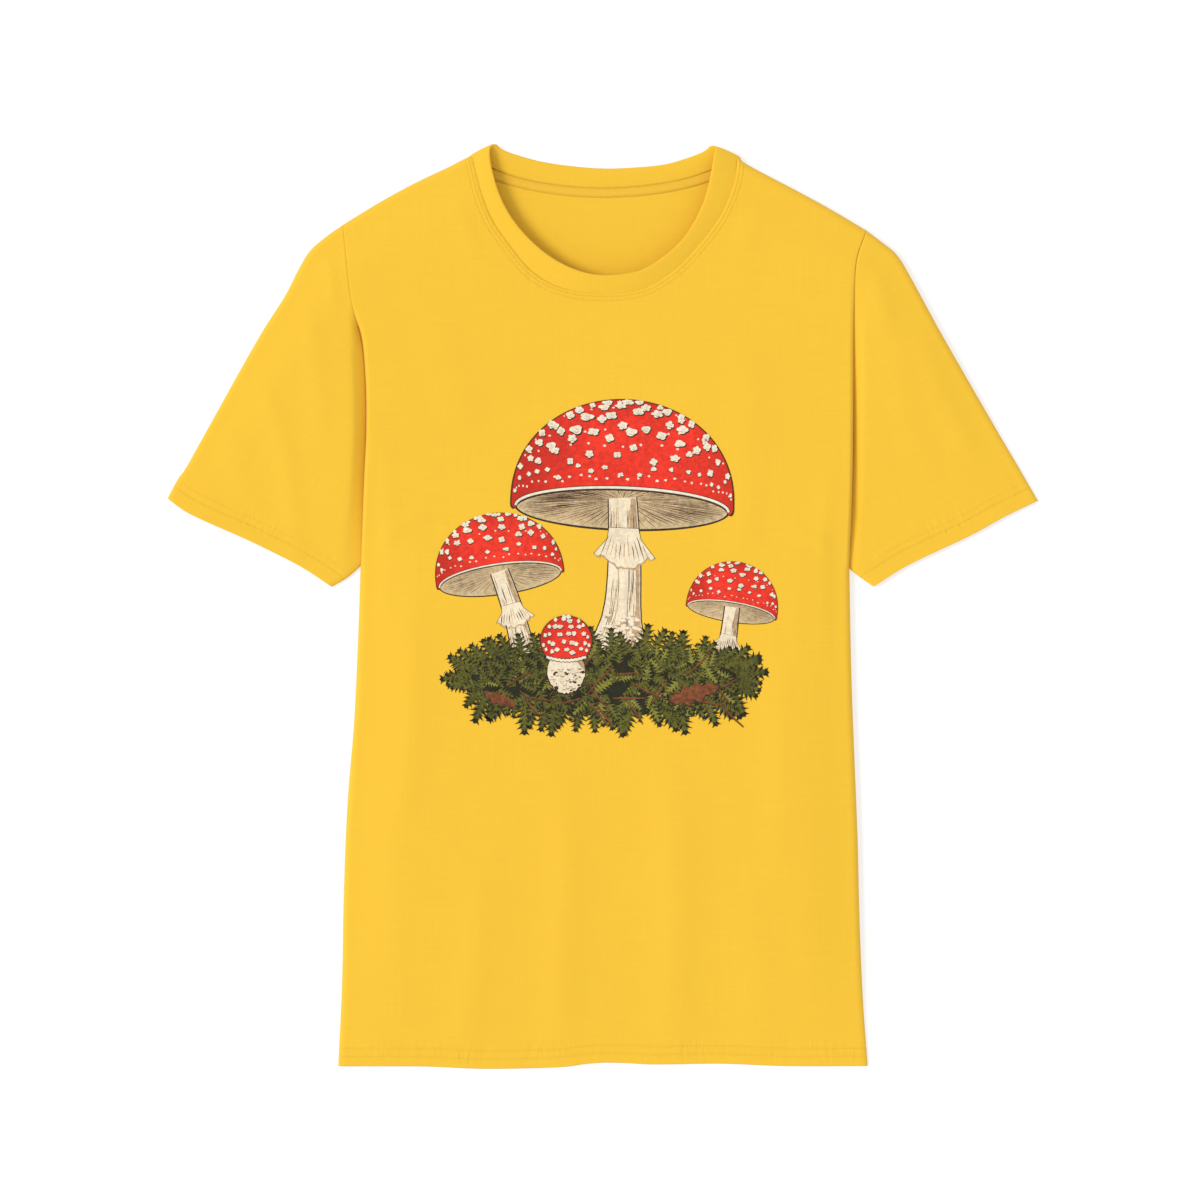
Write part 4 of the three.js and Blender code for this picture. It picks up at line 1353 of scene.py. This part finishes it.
def moss(art, level):
    """A mound of moss with needles and two fallen leaves."""
    around = ring(90)
    rough = np.array([art.vary(0.93, 1.0) for _ in around])
    rise = np.where(np.sin(around) > 0, 22, 30) * np.abs(np.sin(around)) ** 0.8 * np.sign(np.sin(around))
    art.draw("moss", np.column_stack([MOUND_X * np.cos(around), rise]) * rough[:, None] + [0, MOUND_Y], level)
    for i in range(64):
        turn = math.tau * (i + art.vary(0.0, 0.8)) / 64
        at = np.array([102 * math.cos(turn), MOUND_Y + (17 if math.sin(turn) > 0 else 22) * math.sin(turn)])
        out = math.degrees(math.atan2(math.sin(turn) * 2.2, math.cos(turn))) + art.vary(-22, 22)
        shaded_sprig(art, "leaf", at, out, art.vary(15, 22), 0.36, 6, level + 1)
    for i in range(230):
        radius, turn = art.vary(0, 0.93) ** 0.55, art.vary(0, math.tau)
        above = 22 * radius * math.sin(turn)
        at = np.array([104 * radius * math.cos(turn), MOUND_Y - 2 + above])
        if abs(above) < 9:
            out = art.any_of(-90, 90) + art.vary(-85, 85)
        else:
            out = math.copysign(90, above) + art.vary(-75, 75)
        size = art.vary(9, 15)
        shaded_sprig(art, "leaf" if i % 4 else "tip", at, out, size, 0.33, 5, level + 3 + 2 * (i % 5))
        if i % 3 == 0:
            art.draw("tip", stroke([at, turned([(size, 0)], at, out)[0]], 0.9), level + 13)
    for _ in range(22):
        at = np.array([art.vary(-92, 92), art.vary(-76, -50)])
        lean, size = art.vary(-60, 60), art.vary(18, 32)
        pen = turned([(0, 0), (0.5, art.vary(-0.06, 0.06)), (1, 0)], at, lean, size)
        art.draw("line", stroke(pen + [0, -0.35], 2.0, 0.4), level + 13)
        art.draw("twig", stroke(pen, 1.25, 0.4), level + 14)
    for at, lean, size in (((50, -72), 14, 40), ((-92, -66), -24, 26)):
        art.draw("line", turned(LEAF * 1.06 - [0.03, 0.012], at, lean, size), level + 15)
        art.draw("twig", turned(LEAF, at, lean, size), level + 16)
        for vein in LEAF_VEINS:
            art.draw("line", stroke(turned(vein, at, lean, size), 0.7, 0.3), level + 17)


def rim_drop(x):
    """How far the young cap's rim hangs below its middle line, of the cap's radius."""
    return 0.16 * (1 - (x / 0.8) ** 2)


def button(art, centre, size, level):
    """A young toadstool, still a ball on its crumbly base."""
    def put(points):
        return turned(points, centre, 0, size)

    centre, arc = np.array(centre, float), ring(60)
    foot = oval(arc, 0.74, 0.86, 1.2) * np.array([[1 + art.vary(-0.02, 0.02)] for _ in arc])
    art.draw("line", put(foot * 1.05 + [0, 0.05]), level)
    art.draw("stalk", put(foot), level + 1)
    art.draw("shade", put(foot[:16]), level + 2)
    for _ in range(70):
        x, y = art.vary(-0.66, 0.66), art.vary(-1.95, -1.0)
        if (x / 0.7) ** 2 + ((y + 1.2) / 0.84) ** 2 > 1:
            continue
        ink = "line" if art.random.random() < 0.25 - 0.55 * (y + 1.25) else "shade"
        at, dot = centre + size * np.array([x, y]), art.vary(0.03, 0.08) * size
        art.crumb(ink, at, dot * 1.2, dot * 0.8, 4, level + 3)
        if ink == "shade":
            art.crumb("wart", at + [0, dot * 0.6], dot, dot * 0.6, 4, level + 4)
    ball = oval(arc, 1, 0.97)
    lower = ball[:, 1] < -0.6
    ball[lower, 1] = -0.6 - rim_drop(ball[lower, 0]).clip(0)
    art.draw("line", put(ball * 1.035), level + 5)
    art.draw("cap", put(ball), level + 6, (ball + [0, 0.75]) / [1, 1.75])
    collar = put([(x, -0.62 - rim_drop(x) * 15 / 16 + 0.02 * math.sin(40 * x)) for x in np.linspace(-0.78, 0.78, 25)])
    art.draw("line", sides_of(collar, 0.16 * size), level + 7)
    art.draw("wart", sides_of(collar, 0.10 * size), level + 8)
    for row, count in ((-24, 7), (-6, 8), (14, 7), (36, 6), (58, 4), (80, 2)):
        for i in range(count):
            across = math.radians(-76 + 152 * (i + 0.5) / count + art.vary(-6, 6))
            up = math.radians(row + art.vary(-5, 5))
            at = centre + size * 0.96 * np.array([math.sin(across) * math.cos(up), math.sin(up)])
            narrow = max(0.55, math.cos(across) ** 0.6)
            wart(art, at, size * art.vary(0.09, 0.13) * narrow, size * art.vary(0.075, 0.1), level + 8)


# Rows of warts up a cap: each row's angle above the rim, its number of warts and their size.
BIG_CAP = ((4, 32, 0.014), (8, 19, 0.026), (17, 14, 0.041), (28, 12, 0.050), (39, 11, 0.054), (50, 8, 0.060),
           (61, 7, 0.056), (72, 5, 0.048), (83, 3, 0.038), (34, 13, 0.014), (56, 8, 0.014), (23, 15, 0.014))
SMALL_CAP = ((5, 22, 0.017), (11, 12, 0.042), (24, 10, 0.060), (38, 8, 0.068), (52, 6, 0.070), (66, 5, 0.058),
             (80, 3, 0.050), (31, 9, 0.016))
# Each toadstool's rim (its place, half width, height, bow and tilt), its warts and number of gills, the
# base, narrowest and widest half widths of its stalk, and its skirt's top, bottom and flare.
TOADSTOOLS = (
    (((14, 80), 85, 0.93, 0.19, -2), BIG_CAP, 210, ((8, -52), 10.5, 23), (0.17, 0.36, 1.95)),
    (((-80, 24), 49, 0.98, 0.24, 8), SMALL_CAP, 130, ((-58, -58), 6.6, 13.5), (0.30, 0.47, 1.9)),
    (((98, -2), 35, 1.05, 0.22, -9), SMALL_CAP, 100, ((86, -62), 5.2, 10.5), (0.34, 0.52, 1.8)),
)


def draw_print():
    """The whole drawing, in millimetres on the chest."""
    art = Drawing(11)
    for (rim, half, height, bow, tilt), warts, count, (base, narrow, wide), shape in TOADSTOOLS:
        gills(art, rim, half, bow, tilt, count, 1)
        stem = Stem(turned([(0, 0.5 * bow - 0.05)], rim, tilt, half)[0], base, narrow, wide)
        stalk(art, stem, wide, 4)
        skirt(art, stem, wide, *shape, 9)
        crown(art, rim, half, height, bow, tilt, warts, 13)
    moss(art, 13)
    button(art, (-29, -26), 19.5, 31)
    return art


def ink_piece(name, shapes, material, body, replaces=()):
    """One colour of the print: its outlines as faces, cut into a fine grid and laid on the cloth."""
    bm = bmesh.new()
    own = bm.loops.layers.uv.new("Own")
    rank = bm.verts.layers.float.new("rank")
    for index, (shape, level, place) in enumerate(shapes):
        verts = [bm.verts.new((x, y, 0)) for x, y in shape]
        for vert in verts:
            vert[rank] = level + 0.3 * (index % 37) / 37  # keeps shapes of one level apart
        for loop, uv in zip(bm.faces.new(verts).loops, place):
            loop[own].uv = uv
    bm.normal_update()
    bmesh.ops.triangulate(bm, faces=bm.faces, quad_method="BEAUTY", ngon_method="EAR_CLIP")
    for axis, normal in enumerate((Vector((1, 0, 0)), Vector((0, 1, 0)))):
        places = [vert.co[axis] for vert in bm.verts]
        for cut in range(math.ceil(min(places) / DRAPE), math.floor(max(places) / DRAPE) + 1):
            bmesh.ops.bisect_plane(bm, geom=bm.verts[:] + bm.edges[:] + bm.faces[:], dist=1e-5,
                                   plane_co=normal * cut * DRAPE, plane_no=normal)
    flat = np.array([vert.co[:2] for vert in bm.verts])
    ranks = np.array([vert[rank] for vert in bm.verts])
    points = np.column_stack([flat, body.height(flat) + INK_LIFT + INK_STEP * ranks]) * MM
    for vert, point in zip(bm.verts, points):
        vert.co = point
    bm.normal_update()
    return finish_piece(name, bm, material, replaces)


def build_print(sizes, inks):
    art, body = draw_print(), Body(sizes)
    cream, dark, brown, rust = (shade(tint) for tint in (inks.wart, inks.line, inks.shade, inks.twig))
    plain = {  # an ink's tint, the factors of its darkest and lightest tone, its flecks and how strong they are
        "line": (inks.line, 0.7, 1.25, shade(inks.shade, 0.6), 0.12),
        "wart": (inks.wart, 0.86, 1.05, brown, 0.22),
        "stalk": (inks.stalk, 0.86, 1.12, brown, 0.35),
        "gill": (inks.gill, 0.82, 1.3, cream, 0.3),
        "shade": (inks.shade, 0.7, 1.2, shade(inks.line, 2.0), 0.3),
        "moss": (inks.moss, 0.6, 1.2, dark, 0.5),
        "leaf": (inks.leaf, 0.55, 1.3, rust, 0.2),
        "tip": (inks.leaf, 1.5, 2.4, shade(inks.twig, 1.5), 0.25),
        "twig": (inks.twig, 0.6, 1.35, dark, 0.3),
    }
    for ink, shapes in art.shapes.items():
        if ink == "cap":
            material = material_once("Ink cap red", cap_material, inks)
        else:
            tint, low, high, *flecks = plain[ink]
            material = material_once("Ink " + ink, ink_material, shade(tint, low), shade(tint, high), *flecks)
        ink_piece("print_" + ink, shapes, material, body, ["chest_print"] if ink == "moss" else ())


# ---- stage ------------------------------------------------------------------------------------------

FLOOR_SIZE = 30.0                   # metres either way
FLOOR_GLOW = 0.58                   # the floor's own light, which keeps the shadows faint
SKY = 0.80                          # strength of the even light all round
KEY_FROM = (-1.7, 0.1, 1.75)        # where the key light comes from: the upper left
KEY_POWER, KEY_ANGLE = 1.75, 0.42
VIEW_WIDTH = 0.9234                 # width that the camera takes in, at VIEW_HEIGHT above the floor
VIEW_HEIGHT = 0.008
VIEW_MIDDLE = (-0.0031, 0.0054)
LENS, SENSOR = 100.0, 36.0
WHITE = (1.0, 1.0, 1.0, 1.0)


def add_floor(colours):
    """A wide pale floor."""
    bm = bmesh.new()
    bmesh.ops.create_grid(bm, x_segments=8, y_segments=8, size=FLOOR_SIZE)
    paint = Finish("Pale floor", 0.9)
    grain = paint.nodes.noise(paint.place(), 3.0, 2.0, 0.5)
    paint.nodes.put(paint.nodes.mix(grain, shade(colours.floor, 0.998), shade(colours.floor, 1.002)),
                    paint.shader.inputs["Base Color"])
    paint.shader.inputs["Emission Color"].default_value = WHITE
    paint.shader.inputs["Emission Strength"].default_value = FLOOR_GLOW
    new_object("floor", bm, paint.material)


def build_stage(colours):
    """The floor, soft light from the upper left, and a camera straight above."""
    add_floor(colours)
    scene = bpy.context.scene
    scene.world = bpy.data.worlds.new("Studio")
    scene.world.use_nodes = True
    sky = scene.world.node_tree.nodes["Background"].inputs
    sky["Color"].default_value, sky["Strength"].default_value = WHITE, SKY
    lamp = bpy.data.lights.new("key", "SUN")
    lamp.energy, lamp.angle = KEY_POWER, KEY_ANGLE
    key = bpy.data.objects.new("key", lamp)
    key.location = KEY_FROM
    key.rotation_euler = (-key.location).to_track_quat("-Z", "Y").to_euler()
    camera = bpy.data.cameras.new("camera")
    camera.lens, camera.sensor_width, camera.clip_end = LENS, SENSOR, 100.0
    eye = bpy.data.objects.new("camera", camera)
    eye.location = (*VIEW_MIDDLE, VIEW_HEIGHT + VIEW_WIDTH * LENS / SENSOR)
    for item in (key, eye):
        scene.collection.objects.link(item)
    scene.camera = eye
    scene.view_settings.view_transform = "Standard"


# ---- operators --------------------------------------------------------------------------------------

class SHIRT_OT_stage(bpy.types.Operator):
    """Add the floor, the lights and the camera"""
    bl_idname = "shirt.stage"
    bl_label = "Stage"

    def execute(self, context):
        build_stage(context.scene.shirt_colours)
        return {"FINISHED"}


class SHIRT_OT_panels(bpy.types.Operator):
    """Add the front and back panels"""
    bl_idname = "shirt.panels"
    bl_label = "Body panels"

    def execute(self, context):
        sizes = context.scene.shirt_sizes
        cloth = material_once("Jersey yellow body", knit_material, context.scene.shirt_colours, sizes, 0.8)
        front, back = build_front(sizes, cloth), build_back(sizes, cloth)
        return {"FINISHED"}


class SHIRT_OT_sleeves(bpy.types.Operator):
    """Add both sleeves"""
    bl_idname = "shirt.sleeves"
    bl_label = "Sleeves"

    def execute(self, context):
        sizes = context.scene.shirt_sizes
        cloth = material_once("Jersey yellow sleeve", knit_material, context.scene.shirt_colours, sizes, 0.12)
        for side in SIDES:
            build_sleeve(side, sizes, cloth)
        return {"FINISHED"}


class SHIRT_OT_collar(bpy.types.Operator):
    """Add the ribbed collar and the neck tape"""
    bl_idname = "shirt.collar"
    bl_label = "Collar"

    def execute(self, context):
        sizes, colours = context.scene.shirt_sizes, context.scene.shirt_colours
        collar = build_collar(sizes, material_once("Rib knit yellow", rib_material, colours, sizes))
        band = build_tape(sizes, material_once("Neck tape yellow", tape_material, colours))
        return {"FINISHED"}


class SHIRT_OT_seams(bpy.types.Operator):
    """Add the overlocked seam allowances inside"""
    bl_idname = "shirt.seams"
    bl_label = "Inside seams"

    def execute(self, context):
        thread = material_once("Sewing thread yellow", thread_material, context.scene.shirt_colours)
        build_allowances(context.scene.shirt_sizes, thread)
        return {"FINISHED"}


class SHIRT_OT_stitches(bpy.types.Operator):
    """Add the rows of stitches"""
    bl_idname = "shirt.stitches"
    bl_label = "Stitching"

    def execute(self, context):
        thread = material_once("Sewing thread yellow", thread_material, context.scene.shirt_colours)
        build_stitches(context.scene.shirt_sizes, thread)
        return {"FINISHED"}


class SHIRT_OT_print(bpy.types.Operator):
    """Add the toadstool print on the chest"""
    bl_idname = "shirt.toadstools"
    bl_label = "Chest print"

    def execute(self, context):
        build_print(context.scene.shirt_sizes, context.scene.print_colours)
        return {"FINISHED"}


STEPS = (SHIRT_OT_stage, SHIRT_OT_panels, SHIRT_OT_sleeves, SHIRT_OT_collar, SHIRT_OT_seams, SHIRT_OT_stitches,
         SHIRT_OT_print)


class SHIRT_PT_panel(bpy.types.Panel):
    """The shirt's steps and settings"""
    bl_idname = "SHIRT_PT_panel"
    bl_label = "Laid T-shirt"
    bl_space_type = "VIEW_3D"
    bl_region_type = "UI"
    bl_category = "T-shirt"

    def draw(self, context):
        for step in STEPS:
            self.layout.operator(step.bl_idname)
        for name, kind in SETTINGS.items():
            box = self.layout.box()
            for key in kind.__annotations__:
                box.prop(getattr(context.scene, name), key)


CLASSES = (ShirtSizes, ShirtColours, PrintColours, *STEPS, SHIRT_PT_panel)
SETTINGS = {"shirt_sizes": ShirtSizes, "shirt_colours": ShirtColours, "print_colours": PrintColours}


def register():
    for item in CLASSES:
        bpy.utils.register_class(item)
    for name, group in SETTINGS.items():
        setattr(bpy.types.Scene, name, PointerProperty(type=group))


def unregister():
    for name in SETTINGS:
        delattr(bpy.types.Scene, name)
    for item in reversed(CLASSES):
        bpy.utils.unregister_class(item)


def main():
    """Builds the whole shirt."""
    register()
    for step in STEPS:
        group, name = step.bl_idname.split(".")
        getattr(getattr(bpy.ops, group), name)()


if __name__ == "__main__":
    main()
